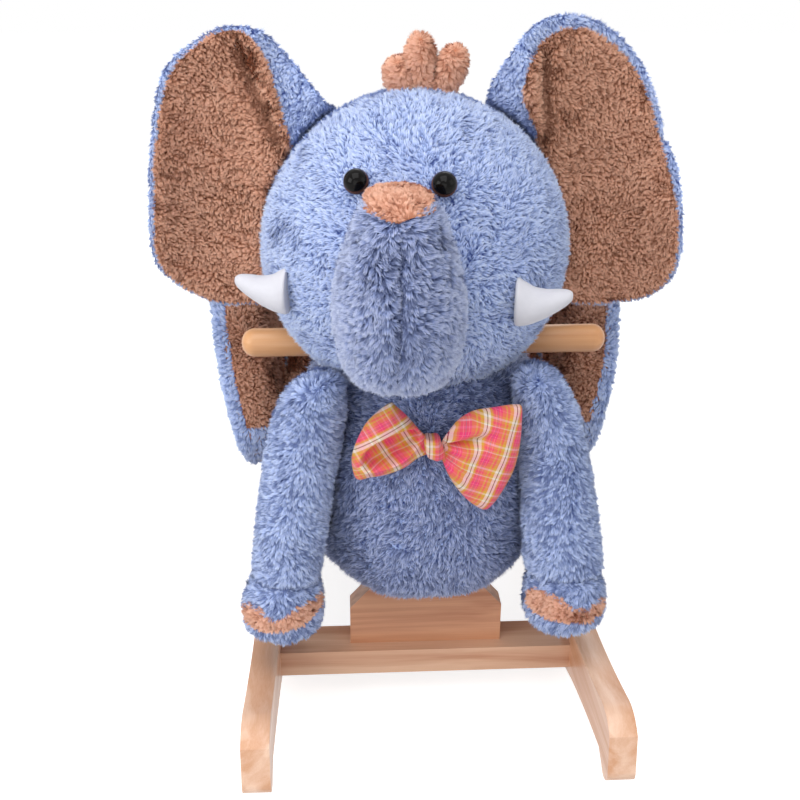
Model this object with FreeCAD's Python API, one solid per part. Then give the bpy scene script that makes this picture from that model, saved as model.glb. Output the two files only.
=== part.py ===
import FreeCAD, Part
import math
import os

# A child's rocking elephant: a plush animal with a bucket seat on its back, on a wooden rocker base.
# +Z is up and the elephant faces -Y. Z = 0 is the floor, Y = 0 the middle of the rockers, X = 0 their centre.
# Left and right are the rider's, so left is +X. All lengths are millimetres.

# Rockers
rail_length = 580.0
rail_thickness = 20.0
rail_gap = 235.0
rocker_radius = 600.0
rocker_flat = 44.0
rocker_reach = 170.0
rail_middle_top = 62.5
rail_straight_top = 120.0
rail_top_radius = 680.0
nose_start = 32.0
nose_crease_inset = 4.6
nose_crease_height = 67.5
toe_length = 28.0
toe_bottom_height = 28.0
toe_step_height = 38.5
toe_rounding = 11.0

# Crossbars and post blocks
crossbar_depth = 35.0
crossbar_height = 22.0
crossbar_bottom = 26.0
crossbar_place = 138.5
post_width = 122.0
post_thickness = 18.0
post_place = 136.0
post_shoulder_height = 82.0
post_chamfer = 21.0
keel_bottom = 106.0

# Fasteners
bolt_radius = 3.0
bolt_clearance = 0.2
bolt_head_radius = 6.0
bolt_head_height = 4.5
bolt_socket_radius = 2.3
bolt_socket_depth = 2.5
bolt_sink = 6.0
bolt_reach = 44.0
counterbore_radius = 7.0
barrel_radius = 5.0
barrel_length = 14.0
barrel_from_end = 32.0
screw_radius = 2.0
screw_head_radius = 4.0
screw_head_height = 3.0
screw_length = 38.0
screw_spacing = 60.0

# Wooden frame inside the plush
keel_width = 80.0
keel_thickness = 15.0
riser_width = 90.0
riser_thickness = 15.0
front_riser_place = -30.0
rear_riser_place = 88.0
seat_board_bottom = 196.0
seat_board_thickness = 12.0
seat_board_front = -50.0
seat_board_rear = 125.0
seat_board_width = 264.0
side_board_thickness = 9.0
side_board_bottom = 160.0
side_board_top = 285.0
side_board_front = -36.0
side_board_rear = 99.0
back_board_thickness = 9.0
back_board_width = 190.0
back_board_bottom = 150.0
back_board_top = 415.0
back_board_rounding = 60.0
neck_post_width = 50.0
neck_post_thickness = 44.0
neck_post_top = 335.0

# Handle
handle_radius = 11.0
handle_length = 280.0
handle_place_y = -90.0
handle_place_z = 290.0
handle_end_rounding = 10.0

# Body and chest, one swelling form parted at the seat board
torso_bottom = 93.0
torso_top = 308.0
torso_front = -196.0
torso_rear = 148.0
torso_half_width = 106.0
seat_front = -62.0
fur_clearance = 0.35

# Head
head_radius = 111.0
head_depth_radius = 110.0
head_x = -9.0
head_y = -100.0
head_z = 368.0
face_turn_deg = 11.0

# Trunk, raised in front of the face
trunk_x = -27.0
trunk_bottom = 304.0
trunk_top = 439.0
trunk_half_width = 41.0
trunk_front = -272.0
trunk_back = -150.0
patch_thickness = 2.0
trunk_patch_bottom = 424.0

# Ears
ear_reach = 200.0
ear_bottom = 318.0
ear_top = 523.0
ear_thickness = 15.0
ear_edge_thickness = 7.0
ear_cup = 26.0
ear_edge_y = -84.0
ear_root_radius = 8.0
ear_root_length = 74.0
ear_root_spread = 104.0
ear_root_y = -80.0
ear_root_z = 400.0
ear_root_lean_deg = 17.0
ear_rim = 6.0
ear_swing_room = 3.5

# Tusks
tusk_length = 46.0
tusk_radius = 18.0
tusk_root_spread = 70.0
tusk_root_ahead = 74.0
tusk_z = 354.0
tusk_rise = 5.0

# Eyes
eye_radius = 8.3
eye_spacing = 55.0
eye_x = -24.5
eye_z = 432.0
eye_shank_radius = 2.3
eye_shank_length = 16.0
washer_radius = 8.0
washer_thickness = 1.5

# Tuft of hair
tuft_x = -5.0
tuft_y = -92.0
tuft_sink = 12.0
tuft_finger_radius = 11.0

# Front legs, hung from the shoulders
shoulder_x = 82.0
shoulder_y = -166.0
shoulder_z = 270.0
shoulder_radius = 23.0
leg_bottom = 92.0
leg_half_width = 31.5
leg_half_depth = 33.0
leg_foot_x = 106.0
leg_foot_y = -187.0
shoulder_pocket_lean_deg = 4.4
pocket_clearance = 2.6
hoof_patch_top = 118.0
hoof_patch_bottom = 96.0
hoof_scallop = 13.0

# Seat
seat_inner_half = 119.0
seat_wall_thickness = 46.0
seat_side_bottom = 140.0
seat_side_top = 345.0
seat_side_front = -60.0
seat_side_lean_deg = 7.0
seat_back_front = 106.0
seat_back_thickness = 46.0
seat_back_half_width = 150.0
seat_back_bottom = 142.0
seat_back_top = 441.0
lining_inset = 12.0
lining_depth = 17.0
cushion_thickness = 24.0
cushion_clearance = 4.0

# Bow
bow_x = 1.0
bow_y = -200.0
bow_z = 253.0
bow_knot_radius = 9.5
bow_knot_length = 15.0
bow_loop_length = 54.0
bow_loop_half_height = 29.0
bow_loop_half_depth = 9.0
bow_left_drop_deg = 14.0
bow_right_drop_deg = -6.0

LEFT = 1.0
RIGHT = -1.0
SIDES = {"left": LEFT, "right": RIGHT}
ENDS = {"front": -1.0, "rear": 1.0}
overrun = 1.0
half_share = 0.5

X = FreeCAD.Vector(1, 0, 0)
Y = FreeCAD.Vector(0, 1, 0)
Z = FreeCAD.Vector(0, 0, 1)


# Plain solids

def at(x, y, z):
    """A point, or a direction."""
    return FreeCAD.Vector(x, y, z)


def block(low, high):
    """A box between its lowest and its highest corner."""
    size = high - low
    return Part.makeBox(size.x, size.y, size.z, low)


def rod(start, end, radius):
    """A round bar from one point to another."""
    along = end - start
    return Part.makeCylinder(radius, along.Length, start, along)


def mirrored_x(shape):
    """The same piece on the other side of the middle plane."""
    return shape.mirror(at(0, 0, 0), X)


# Soft forms: rings of arcs, lofted

# Heights of a ball's rings, and of a shoulder's, in degrees above its middle.
ball_ring_degs = [-82.0, -66.0, -46.0, -23.0, 0.0, 23.0, 46.0, 66.0, 82.0]
shoulder_ring_degs = [78.0, 55.0, 30.0, 5.0]
# Places round a ring, each a share of its half width and half height. Every second place ends an arc.
oval_shares = [
    (0.71, -0.71), (1.0, 0.0), (0.71, 0.71), (0.0, 1.0),
    (-0.71, 0.71), (-1.0, 0.0), (-0.71, -0.71), (0.0, -1.0),
]
full_shares = [
    (0.75, -0.75), (1.0, 0.0), (0.75, 0.75), (0.0, 1.0),
    (-0.75, 0.75), (-1.0, 0.0), (-0.75, -0.75), (0.0, -1.0),
]


def ring(centre, side, up, half_side, half_up, shares=oval_shares):
    """A closed ring of arcs, each through three of the places in shares."""
    points = [centre + side * (s * half_side) + up * (u * half_up) for s, u in shares]
    arcs = []
    for first in range(0, len(points), 2):
        through = points[first + 1]
        last = points[(first + 2) % len(points)]
        arcs.append(Part.Arc(points[first], through, last).toShape())
    return Part.Wire(arcs)


def loft(rings):
    """A closed form through its rings."""
    return Part.makeLoft(rings, True, False)


def ball(centre, side_radius, depth_radius, height_radius):
    """A stuffed ball lofted through level rings between two small flat poles."""
    rings = []
    for polar_deg in ball_ring_degs:
        polar = math.radians(polar_deg)
        middle = centre + Z * (height_radius * math.sin(polar))
        wide = side_radius * math.cos(polar)
        deep = depth_radius * math.cos(polar)
        rings.append(ring(middle, X, Y, wide, deep))
    return loft(rings)


def whole(shape):
    """The largest solid of a cut, without slivers."""
    return max(shape.Solids, key=lambda solid: solid.Volume)


# Wooden base

rail_inner_x = rail_gap / 2
rail_outer_x = rail_inner_x + rail_thickness
rail_end = rail_length / 2
flat_end = rocker_flat / 2
rocker_centre_z = math.sqrt(rocker_radius ** 2 - flat_end ** 2)
bolt_z = crossbar_bottom + crossbar_height / 2
crossbar_top = crossbar_bottom + crossbar_height


def rocker_height(y):
    """Height of the rail's rolling face above the floor."""
    return rocker_centre_z - math.sqrt(rocker_radius ** 2 - y ** 2)


def rail_top_height(y):
    """Height of the rail's top face past its straight middle."""
    past = y - rail_straight_top
    return rail_middle_top + rail_top_radius - math.sqrt(rail_top_radius ** 2 - past ** 2)


def rail_outline_half(sign):
    """Edges of half the rail's side view, from the floor flat round the nose to the straight top."""
    lift_share = 0.6
    nose_share = 0.8
    toe_start = rail_end - toe_length
    nose_y = rail_end - nose_start
    crease_y = rail_end - nose_crease_inset
    nose_z = rail_top_height(nose_y)

    def p(y, z):
        return at(rail_inner_x, sign * y, z)

    def between(a, b, share=half_share):
        return a + (b - a) * share

    flat = p(flat_end, 0)
    roll_y = between(flat_end, rocker_reach)
    rolled = p(rocker_reach, rocker_height(rocker_reach))
    lift_y = between(rocker_reach, toe_start)
    lift = p(lift_y, between(rocker_height(rocker_reach), toe_step_height, lift_share))
    step = p(toe_start, toe_step_height)
    toe_side = p(toe_start + toe_rounding, toe_bottom_height + toe_rounding / 3)
    toe_low = p(between(toe_start + toe_rounding, rail_end), toe_bottom_height)
    toe_front = p(rail_end, toe_bottom_height + toe_rounding)
    crease = p(crease_y, nose_crease_height)
    nose_mid = p(between(nose_y, crease_y, lift_share), between(nose_crease_height, nose_z, nose_share))
    nose = p(nose_y, nose_z)
    top_y = between(rail_straight_top, nose_y)
    top = p(rail_straight_top, rail_middle_top)
    return [
        Part.Arc(flat, p(roll_y, rocker_height(roll_y)), rolled).toShape(),
        Part.Arc(rolled, lift, step).toShape(),
        Part.LineSegment(step, toe_side).toShape(),
        Part.Arc(toe_side, toe_low, toe_front).toShape(),
        Part.LineSegment(toe_front, crease).toShape(),
        Part.Arc(crease, nose_mid, nose).toShape(),
        Part.Arc(nose, p(top_y, rail_top_height(top_y)), top).toShape(),
    ]


def bolt_ends():
    """Where each rail bolt's axis meets the outside of its rail, as (side, y)."""
    return [(side, end * crossbar_place) for side in SIDES.values() for end in ENDS.values()]


def rail_bolt(side, y):
    """A socket-head bolt, sunk in the rail and reaching into the crossbar."""
    seat = at(side * (rail_outer_x - bolt_sink), y, bolt_z)
    outward = X * side
    head = rod(seat, seat + outward * bolt_head_height, bolt_head_radius)
    head_top = seat + outward * bolt_head_height
    socket = rod(head_top - outward * bolt_socket_depth, head_top + outward * overrun, bolt_socket_radius)
    tip = at(side * (rail_inner_x - bolt_reach), y, bolt_z)
    return head.fuse(rod(tip, seat, bolt_radius)).cut(socket)


def bolt_hole(side, y):
    """Room for one bolt through the rail and into the crossbar."""
    seat = at(side * (rail_outer_x - bolt_sink), y, bolt_z)
    outward = X * side
    tip = at(side * (rail_inner_x - bolt_reach), y, bolt_z) - outward * overrun
    mouth = rod(seat, seat + outward * (bolt_sink + overrun), counterbore_radius)
    return rod(tip, seat, bolt_radius + bolt_clearance).fuse(mouth)


def barrel_nut(side, y):
    """A cross nut in the crossbar that the rail bolt screws into."""
    middle = at(side * (rail_inner_x - barrel_from_end), y, bolt_z)
    low = middle - Z * (barrel_length / 2)
    nut = rod(low, low + Z * barrel_length, barrel_radius)
    thread = rod(middle - X * (2 * barrel_radius), middle + X * (2 * barrel_radius), bolt_radius)
    return nut.cut(thread)


def barrel_hole(side, y):
    """The blind hole from below that takes the barrel nut."""
    middle = at(side * (rail_inner_x - barrel_from_end), y, bolt_z)
    low = at(middle.x, y, crossbar_bottom - overrun)
    return rod(low, middle + Z * (barrel_length / 2), barrel_radius)


def screw(head_centre, towards):
    """A countersunk wood screw, its head's face at head_centre."""
    cone = Part.makeCone(screw_head_radius, screw_radius, screw_head_height, head_centre, towards)
    return cone.fuse(rod(head_centre, head_centre + towards * screw_length, screw_radius))


def all_cut(shape, tools):
    """The shape less each tool."""
    return shape.cut(Part.Compound(tools)) if tools else shape


def make_rail(side):
    """One rocker rail, cut from board, with its bolt holes."""
    edges = rail_outline_half(1.0) + rail_outline_half(-1.0)
    low_flat = Part.LineSegment(at(rail_inner_x, -flat_end, 0), at(rail_inner_x, flat_end, 0))
    high_a = at(rail_inner_x, -rail_straight_top, rail_middle_top)
    high_b = at(rail_inner_x, rail_straight_top, rail_middle_top)
    edges += [low_flat.toShape(), Part.LineSegment(high_a, high_b).toShape()]
    face = Part.Face(Part.Wire(Part.__sortEdges__(edges)))
    rail = face.extrude(X * rail_thickness)
    if side == RIGHT:
        rail = mirrored_x(rail)
    return all_cut(rail, [bolt_hole(s, y) for s, y in bolt_ends() if s == side])


def make_crossbar(end):
    """A crossbar between the rails, with its bolt and nut holes."""
    y = end * crossbar_place
    low = at(-rail_inner_x, y - crossbar_depth / 2, crossbar_bottom)
    high = at(rail_inner_x, y + crossbar_depth / 2, crossbar_top)
    holes = [bolt_hole(s, y) for s in SIDES.values()]
    holes += [barrel_hole(s, y) for s in SIDES.values()]
    return all_cut(block(low, high), holes + post_screws(end))


def post_screws(end):
    """The two screws from under one crossbar into its post."""
    places = [side * screw_spacing / 2 for side in SIDES.values()]
    return [screw(at(x, end * post_place, crossbar_bottom), Z) for x in places]


def make_post(end):
    """A block on the crossbar, its top corners cut off, that carries the keel board."""
    half = post_width / 2
    y = end * post_place - post_thickness / 2
    corners = [
        at(-half, y, crossbar_top), at(half, y, crossbar_top),
        at(half, y, post_shoulder_height), at(half - post_chamfer, y, keel_bottom),
        at(post_chamfer - half, y, keel_bottom), at(-half, y, post_shoulder_height),
    ]
    post = Part.Face(Part.makePolygon(corners + corners[:1])).extrude(Y * post_thickness)
    return all_cut(post, post_screws(end) + keel_screws(end))


# Wooden frame inside

keel_top = keel_bottom + keel_thickness
keel_end = post_place + post_thickness / 2
seat_board_top = seat_board_bottom + seat_board_thickness
side_board_x = seat_board_width / 2
neck_front = handle_place_y - neck_post_thickness / 2
neck_rear = handle_place_y + neck_post_thickness / 2


def keel_screws(end):
    """The two screws from the keel board down into one post."""
    places = [side * screw_spacing / 2 for side in SIDES.values()]
    stagger = screw_head_radius + screw_radius
    return [screw(at(x + stagger, end * post_place, keel_top), -Z) for x in places]


def neck_screws():
    """The two screws from under the keel board into the neck post."""
    places = [side * neck_post_width / 4 for side in SIDES.values()]
    return [screw(at(x, handle_place_y, keel_bottom), Z) for x in places]


def seat_screws():
    """The screws from the seat board down into the two risers."""
    places = [side * screw_spacing / 2 for side in SIDES.values()]
    rows = [front_riser_place, rear_riser_place]
    return [screw(at(x, y, seat_board_top), -Z) for x in places for y in rows]


def side_screws(side):
    """The two screws through one side board into the seat board's edge."""
    level = seat_board_bottom + seat_board_thickness / 2
    outside = side * (side_board_x + side_board_thickness)
    rows = [front_riser_place, rear_riser_place]
    return [screw(at(outside, y, level), X * -side) for y in rows]


def back_screws():
    """The two screws through the back board into the seat board's rear edge."""
    level = seat_board_bottom + seat_board_thickness / 2
    behind = seat_board_rear + back_board_thickness
    return [screw(at(side * screw_spacing, behind, level), -Y) for side in SIDES.values()]


def make_keel():
    """The keel board that joins both posts and carries the frame."""
    low = at(-keel_width / 2, -keel_end, keel_bottom)
    high = at(keel_width / 2, keel_end, keel_top)
    cuts = neck_screws() + keel_screws(ENDS["front"]) + keel_screws(ENDS["rear"])
    return all_cut(block(low, high), cuts)


def make_riser(y):
    """An upright board between the keel and the seat board."""
    low = at(-riser_width / 2, y - riser_thickness / 2, keel_top)
    high = at(riser_width / 2, y + riser_thickness / 2, seat_board_bottom)
    return all_cut(block(low, high), seat_screws())


def make_seat_board():
    """The board under the seat cushion."""
    low = at(-side_board_x, seat_board_front, seat_board_bottom)
    high = at(side_board_x, seat_board_rear, seat_board_top)
    cuts = seat_screws() + side_screws(LEFT) + side_screws(RIGHT) + back_screws()
    return all_cut(block(low, high), cuts)


def make_side_board(side):
    """The upright board inside one side of the seat, its top front corner rounded."""
    low = at(side_board_x, side_board_front, side_board_bottom)
    high = at(side_board_x + side_board_thickness, side_board_rear, side_board_top)
    board = block(low, high)
    corner = [e for e in board.Edges if e.BoundBox.YMax < low.y + overrun and e.BoundBox.ZMin > high.z - overrun]
    board = board.makeFillet((side_board_top - side_board_bottom) / 3, corner)
    if side == RIGHT:
        board = mirrored_x(board)
    return all_cut(board, side_screws(side))


def make_back_board():
    """The board inside the seat back, its top corners rounded."""
    low = at(-back_board_width / 2, seat_board_rear, back_board_bottom)
    high = at(back_board_width / 2, seat_board_rear + back_board_thickness, back_board_top)
    board = block(low, high)
    corners = [
        e for e in board.Edges
        if e.BoundBox.ZMin > high.z - overrun and e.BoundBox.YLength > overrun
    ]
    return all_cut(board.makeFillet(back_board_rounding, corners), back_screws())


def make_neck_post():
    """The post that stands on the keel and holds the handle."""
    low = at(-neck_post_width / 2, neck_front, keel_top)
    high = at(neck_post_width / 2, neck_rear, neck_post_top)
    return all_cut(block(low, high), neck_screws() + [make_handle_bar()])


def make_handle_bar():
    """The round handle bar, its ends rounded."""
    start = at(-handle_length / 2, handle_place_y, handle_place_z)
    end = at(handle_length / 2, handle_place_y, handle_place_z)
    bar = rod(start, end, handle_radius)
    ends = [e for e in bar.Edges if e.BoundBox.XLength < overrun]
    return bar.makeFillet(handle_end_rounding, ends)


# Torso

# Level, half width, front and rear of the torso's rings, each a share of its height, width or reach.
torso_shares = [
    (0.0, 0.52, 0.66, 0.80),
    (0.035, 0.72, 0.83, 0.93),
    (0.11, 0.89, 0.93, 0.99),
    (0.23, 0.97, 0.98, 1.0),
    (0.38, 1.0, 1.0, 1.0),
    (0.52, 0.99, 1.0, 1.0),
    (0.70, 0.90, 0.98, 0.93),
    (0.86, 0.76, 0.90, 0.82),
    (1.0, 0.55, 0.76, 0.66),
]


def make_torso():
    """The whole stuffed torso, before it is parted and its seat taken out."""
    height = torso_top - torso_bottom
    rings = []
    for level, wide, front, rear in torso_shares:
        y_front = torso_front * front
        y_rear = torso_rear * rear
        middle = at(0, (y_front + y_rear) / 2, torso_bottom + height * level)
        rings.append(ring(middle, X, Y, torso_half_width * wide, (y_rear - y_front) / 2, full_shares))
    return loft(rings)


def shoulder_pocket(side):
    """The room at one shoulder that the front leg swings forward in."""
    rim = shoulder_radius + pocket_clearance
    shoulder_pocket_x = shoulder_x - rim
    rear = shoulder_y + rim
    far = head_radius + leg_foot_x
    centre = at(shoulder_pocket_x, shoulder_y, shoulder_z)
    across = X * far
    disc = rod(centre, centre + across, rim)
    down = block(at(shoulder_pocket_x, shoulder_y - far, 0), at(shoulder_pocket_x + far, rear, shoulder_z))
    ahead = block(
        at(shoulder_pocket_x, shoulder_y - far, shoulder_z),
        at(shoulder_pocket_x + far, shoulder_y, shoulder_z + rim),
    )
    swung = down.fuse(ahead)
    swung.rotate(at(shoulder_pocket_x, shoulder_y, shoulder_z + rim), Y, -shoulder_pocket_lean_deg)
    pocket = disc.fuse(swung)
    return mirrored_x(pocket) if side == RIGHT else pocket


def frame_cutters():
    """The wooden pieces that the stuffing is packed round."""
    wood = [make_keel_block(), make_post(ENDS["front"]), make_post(ENDS["rear"])]
    wood += [make_riser_block(front_riser_place), make_riser_block(rear_riser_place)]
    wood += [neck_block(), seat_board_block(), back_board_block(), make_handle_bar()]
    return wood


def make_keel_block():
    """The keel board without its screws."""
    return block(at(-keel_width / 2, -keel_end, keel_bottom), at(keel_width / 2, keel_end, keel_top))


def make_riser_block(y):
    """A riser without its screws."""
    low = at(-riser_width / 2, y - riser_thickness / 2, keel_top)
    return block(low, at(riser_width / 2, y + riser_thickness / 2, seat_board_bottom))


def neck_block():
    """The neck post without its screws."""
    return block(at(-neck_post_width / 2, neck_front, keel_top), at(neck_post_width / 2, neck_rear, neck_post_top))


def seat_board_block():
    """The seat board without its screws."""
    low = at(-side_board_x, seat_board_front, seat_board_bottom)
    return block(low, at(side_board_x, seat_board_rear, seat_board_top))


def back_board_block():
    """The back board without its screws and rounded corners."""
    low = at(-back_board_width / 2, seat_board_rear, back_board_bottom)
    return block(low, at(back_board_width / 2, seat_board_rear + back_board_thickness, back_board_top))


def make_body(torso):
    """The barrel under the seat board's level, packed round the keel and risers."""
    far = rail_length
    below = block(at(-far, -far, 0), at(far, far, seat_board_bottom))
    pockets = [shoulder_pocket(side) for side in SIDES.values()]
    return whole(torso.common(below).cut(Part.Compound(frame_cutters() + pockets)))


def make_chest(torso, head):
    """The upright front of the torso, which carries the head."""
    far = rail_length
    ahead = block(at(-far, -far, seat_board_bottom), at(far, seat_front, far))
    pockets = [shoulder_pocket(side) for side in SIDES.values()]
    return whole(torso.common(ahead).cut(Part.Compound(frame_cutters() + pockets)).cut(head))


# Head, trunk, tusks, eyes and hair

head_centre = at(head_x, head_y, head_z)


def make_head_ball(grow=0.0):
    """The plain stuffed ball of the head, larger by grow to keep the ears off it."""
    return ball(head_centre, head_radius + grow, head_depth_radius + grow, head_radius + grow)


# Level, half width, front and back of the trunk's rings, each a share of its height, width or reach.
trunk_shares = [
    (0.0, 0.45, 0.50, 0.20),
    (0.08, 0.78, 0.74, 0.0),
    (0.22, 0.94, 0.91, 0.0),
    (0.42, 1.0, 1.0, 0.10),
    (0.60, 0.91, 1.0, 0.22),
    (0.77, 0.74, 0.99, 0.34),
    (0.90, 0.57, 0.95, 0.43),
    (0.97, 0.40, 0.88, 0.50),
    (1.0, 0.20, 0.80, 0.60),
]


def make_trunk_form(grow=0.0):
    """The trunk's swelling form, thicker by grow for the patch on its tip."""
    height = trunk_top - trunk_bottom + grow
    reach = trunk_front - trunk_back
    rings = []
    for level, wide, front, back in trunk_shares:
        y_front = trunk_back + reach * front - grow
        y_back = trunk_back + reach * back + grow
        middle = at(trunk_x, (y_front + y_back) / 2, trunk_bottom + height * level)
        rings.append(ring(middle, X, Y, trunk_half_width * wide + grow, (y_back - y_front) / 2))
    return loft(rings)


def make_trunk_patch(trunk):
    """The tan patch sewn over the tip of the trunk."""
    far = rail_length
    above = block(at(-far, -far, trunk_patch_bottom), at(far, far, far + trunk_top))
    return whole(make_trunk_form(patch_thickness).common(above).cut(trunk))


# Share of the tusk's length, and of its root radius, for each of its rings.
tusk_shares = [(0.0, 1.0), (0.35, 0.90), (0.65, 0.62), (0.88, 0.40), (0.97, 0.24), (1.0, 0.12)]


def make_tusk(side, head):
    """A white stuffed tusk that stands out of the cheek and rises a little."""
    root = head_centre + at(side * tusk_root_spread, -tusk_root_ahead, tusk_z - head_z)
    rings = []
    for along, thick in tusk_shares:
        rise = tusk_rise * along ** 2
        middle = root + at(side * tusk_length * along, 0, rise)
        rings.append(ring(middle, Y, Z, tusk_radius * thick, tusk_radius * thick))
    tusk = loft(rings)
    tusk.rotate(head_centre, Z, -face_turn_deg)
    return whole(tusk.cut(head))


def eye_centre(side):
    """Where an eye sits on the head's surface."""
    x = eye_x + side * eye_spacing / 2 - head_x
    z = eye_z - head_z
    flat = 1 - (x / head_radius) ** 2 - (z / head_radius) ** 2
    return head_centre + at(x, -head_depth_radius * math.sqrt(flat), z)


def make_eye(side):
    """A glossy dome on a shank that is pushed through the face."""
    centre = eye_centre(side)
    inward = (head_centre - centre).normalize()
    dome = Part.makeSphere(eye_radius, centre)
    return dome.fuse(rod(centre, centre + inward * eye_shank_length, eye_shank_radius))


def make_washer(side):
    """The washer that locks an eye's shank inside the head."""
    centre = eye_centre(side)
    inward = (head_centre - centre).normalize()
    low = centre + inward * (eye_shank_length - 2 * washer_thickness)
    disc = rod(low, low + inward * washer_thickness, washer_radius)
    return disc.cut(make_eye(side))


# Tip's place and height above the head's top, and share of the finger's radius, for each finger.
tuft_fingers = {"left": (26.0, 25.0, 0.85), "middle": (2.0, 35.0, 1.0), "right": (-20.0, 17.0, 0.85)}
# Share of the way to the finger's tip, and share of its radius there.
tuft_shares = [(0.0, 1.0), (0.45, 1.15), (0.75, 1.0), (0.93, 0.62), (1.0, 0.25)]


def make_tuft(head):
    """Three stuffed fingers of hair, sewn in at the crown."""
    crown = head_z + head_radius
    fingers = []
    for tip_x, tip_rise, radius_share in tuft_fingers.values():
        radius = tuft_finger_radius * radius_share
        root = at(tuft_x, tuft_y, crown - tuft_sink)
        tip = at(tuft_x + tip_x, tuft_y, crown + tip_rise)
        along = tip - root
        up = at(along.x, 0, along.z).normalize()
        side = up.cross(Y)
        rings = [ring(root + along * s, side, Y, radius * r, radius * r) for s, r in tuft_shares]
        fingers.append(loft(rings))
    return whole(fingers[0].fuse(fingers[1:]).cut(head))


# Ears

# Level, inner and outer edge of the left and the right ear, as shares of its height and reach.
ear_shares = {
    "left": [
        (0.0, 0.61, 0.72), (0.06, 0.59, 0.88), (0.16, 0.57, 0.97), (0.28, 0.54, 1.0), (0.47, 0.475, 0.97),
        (0.62, 0.41, 0.90), (0.76, 0.26, 0.84), (0.88, 0.28, 0.77), (0.97, 0.36, 0.66), (1.0, 0.42, 0.58),
    ],
    "right": [
        (0.0, 0.68, 0.75), (0.07, 0.66, 0.85), (0.17, 0.63, 0.94), (0.34, 0.60, 1.0), (0.53, 0.52, 1.0),
        (0.70, 0.39, 0.98), (0.80, 0.42, 0.95), (0.91, 0.51, 0.87), (0.97, 0.57, 0.78), (0.99, 0.61, 0.72),
    ],
}


def ear_section(side, z, inner, outer, front_shift, back_shift):
    """A crescent ring of the ear at one level, cupped towards the front."""
    x_in = side * inner
    x_out = side * outer
    x_mid = (x_in + x_out) / 2
    cup = ear_cup * (outer - inner) / (ear_reach / 2)
    y_mid = ear_edge_y + cup
    half = ear_edge_thickness / 2
    inner_back = at(x_in, ear_edge_y + half + back_shift, z)
    outer_back = at(x_out, ear_edge_y + half + back_shift, z)
    outer_front = at(x_out, ear_edge_y - half + front_shift, z)
    inner_front = at(x_in, ear_edge_y - half + front_shift, z)
    back_mid = at(x_mid, y_mid + ear_thickness / 2 + back_shift, z)
    front_mid = at(x_mid, y_mid - ear_thickness / 2 + front_shift, z)
    edges = [
        Part.Arc(inner_back, back_mid, outer_back).toShape(),
        Part.LineSegment(outer_back, outer_front).toShape(),
        Part.Arc(outer_front, front_mid, inner_front).toShape(),
        Part.LineSegment(inner_front, inner_back).toShape(),
    ]
    return Part.Wire(edges)


def ear_form(name, inset, front_shift, back_shift):
    """The ear's cupped flap, its outline drawn in by inset and its faces moved by the shifts."""
    side = SIDES[name]
    height = ear_top - ear_bottom
    low = ear_bottom + inset
    span = height - 2 * inset
    rings = []
    for level, inner, outer in ear_shares[name]:
        z = low + span * level
        rings.append(ear_section(side, z, ear_reach * inner + inset, ear_reach * outer - inset, front_shift, back_shift))
    return loft(rings)


def ear_axis(side):
    """Middle and direction of the seam that the ear flaps about."""
    lean = math.radians(ear_root_lean_deg)
    middle = at(head_x + side * ear_root_spread, ear_root_y, ear_root_z)
    return middle, at(-side * math.sin(lean), 0, math.cos(lean))


def ear_root(side, radius, length):
    """The rolled root of the ear along its seam."""
    middle, along = ear_axis(side)
    return rod(middle - along * (length / 2), middle + along * (length / 2), radius)


def make_ear(name):
    """The blue back of an ear with its rolled root, and the brown lining in its front."""
    side = SIDES[name]
    flap = ear_form(name, 0.0, 0.0, 0.0).cut(make_head_ball(ear_swing_room))
    lining_tool = ear_form(name, ear_rim, -ear_thickness, -ear_thickness / 2)
    lining = whole(flap.common(lining_tool))
    root = ear_root(side, ear_root_radius, ear_root_length)
    back = flap.cut(lining_tool).fuse(root).cut(lining)
    keep_off = ear_root(side, ear_root_radius + fur_clearance, ear_root_length + 2 * fur_clearance)
    return whole(back), lining, keep_off


# Front legs

# Place down from the shoulder to the sole, swing towards the foot's place, half width and half depth.
leg_shares = [
    (0.33, 0.55, 0.86, 0.84),
    (0.52, 0.74, 0.92, 0.86),
    (0.68, 0.88, 0.90, 0.84),
    (0.80, 0.97, 1.0, 0.96),
    (0.90, 1.0, 0.98, 1.0),
    (0.96, 1.0, 0.84, 0.86),
    (1.0, 1.0, 0.52, 0.54),
]


def leg_form(side, grow=0.0):
    """A front leg: a round shoulder, a narrow ankle and a swollen foot, thicker by grow for its patch."""
    drop = shoulder_z - leg_bottom + grow
    rings = []
    for polar_deg in shoulder_ring_degs:
        polar = math.radians(polar_deg)
        middle = at(side * shoulder_x, shoulder_y, shoulder_z + shoulder_radius * math.sin(polar))
        radius = shoulder_radius * math.cos(polar)
        rings.append(ring(middle, X, Y, radius, radius))
    for down, swing, wide, deep in leg_shares:
        x = side * (shoulder_x + (leg_foot_x - shoulder_x) * swing)
        y = shoulder_y + (leg_foot_y - shoulder_y) * swing
        middle = at(x, y, shoulder_z - drop * down)
        rings.append(ring(middle, X, Y, leg_half_width * wide + grow, leg_half_depth * deep + grow))
    return loft(rings)


def make_hoof_patch(side, leg):
    """The tan patch round the front of the foot, its top edge dipping in the middle."""
    x = side * leg_foot_x
    far = leg_half_width * 2
    front = leg_foot_y - far
    corners = [
        at(x - far, front, hoof_patch_bottom + hoof_scallop), at(x - far, front, hoof_patch_top),
        at(x - leg_half_width / 2, front, hoof_patch_top + hoof_scallop / 2),
        at(x + side * leg_half_width / 5, front, hoof_patch_top - hoof_scallop),
        at(x + leg_half_width / 2, front, hoof_patch_top + hoof_scallop / 2),
        at(x + far, front, hoof_patch_top), at(x + far, front, hoof_patch_bottom + hoof_scallop),
        at(x, front, hoof_patch_bottom - hoof_scallop),
    ]
    window = Part.Face(Part.makePolygon(corners + corners[:1])).extrude(Y * far)
    return whole(leg_form(side, patch_thickness).common(window).cut(leg))


# Seat

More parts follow.
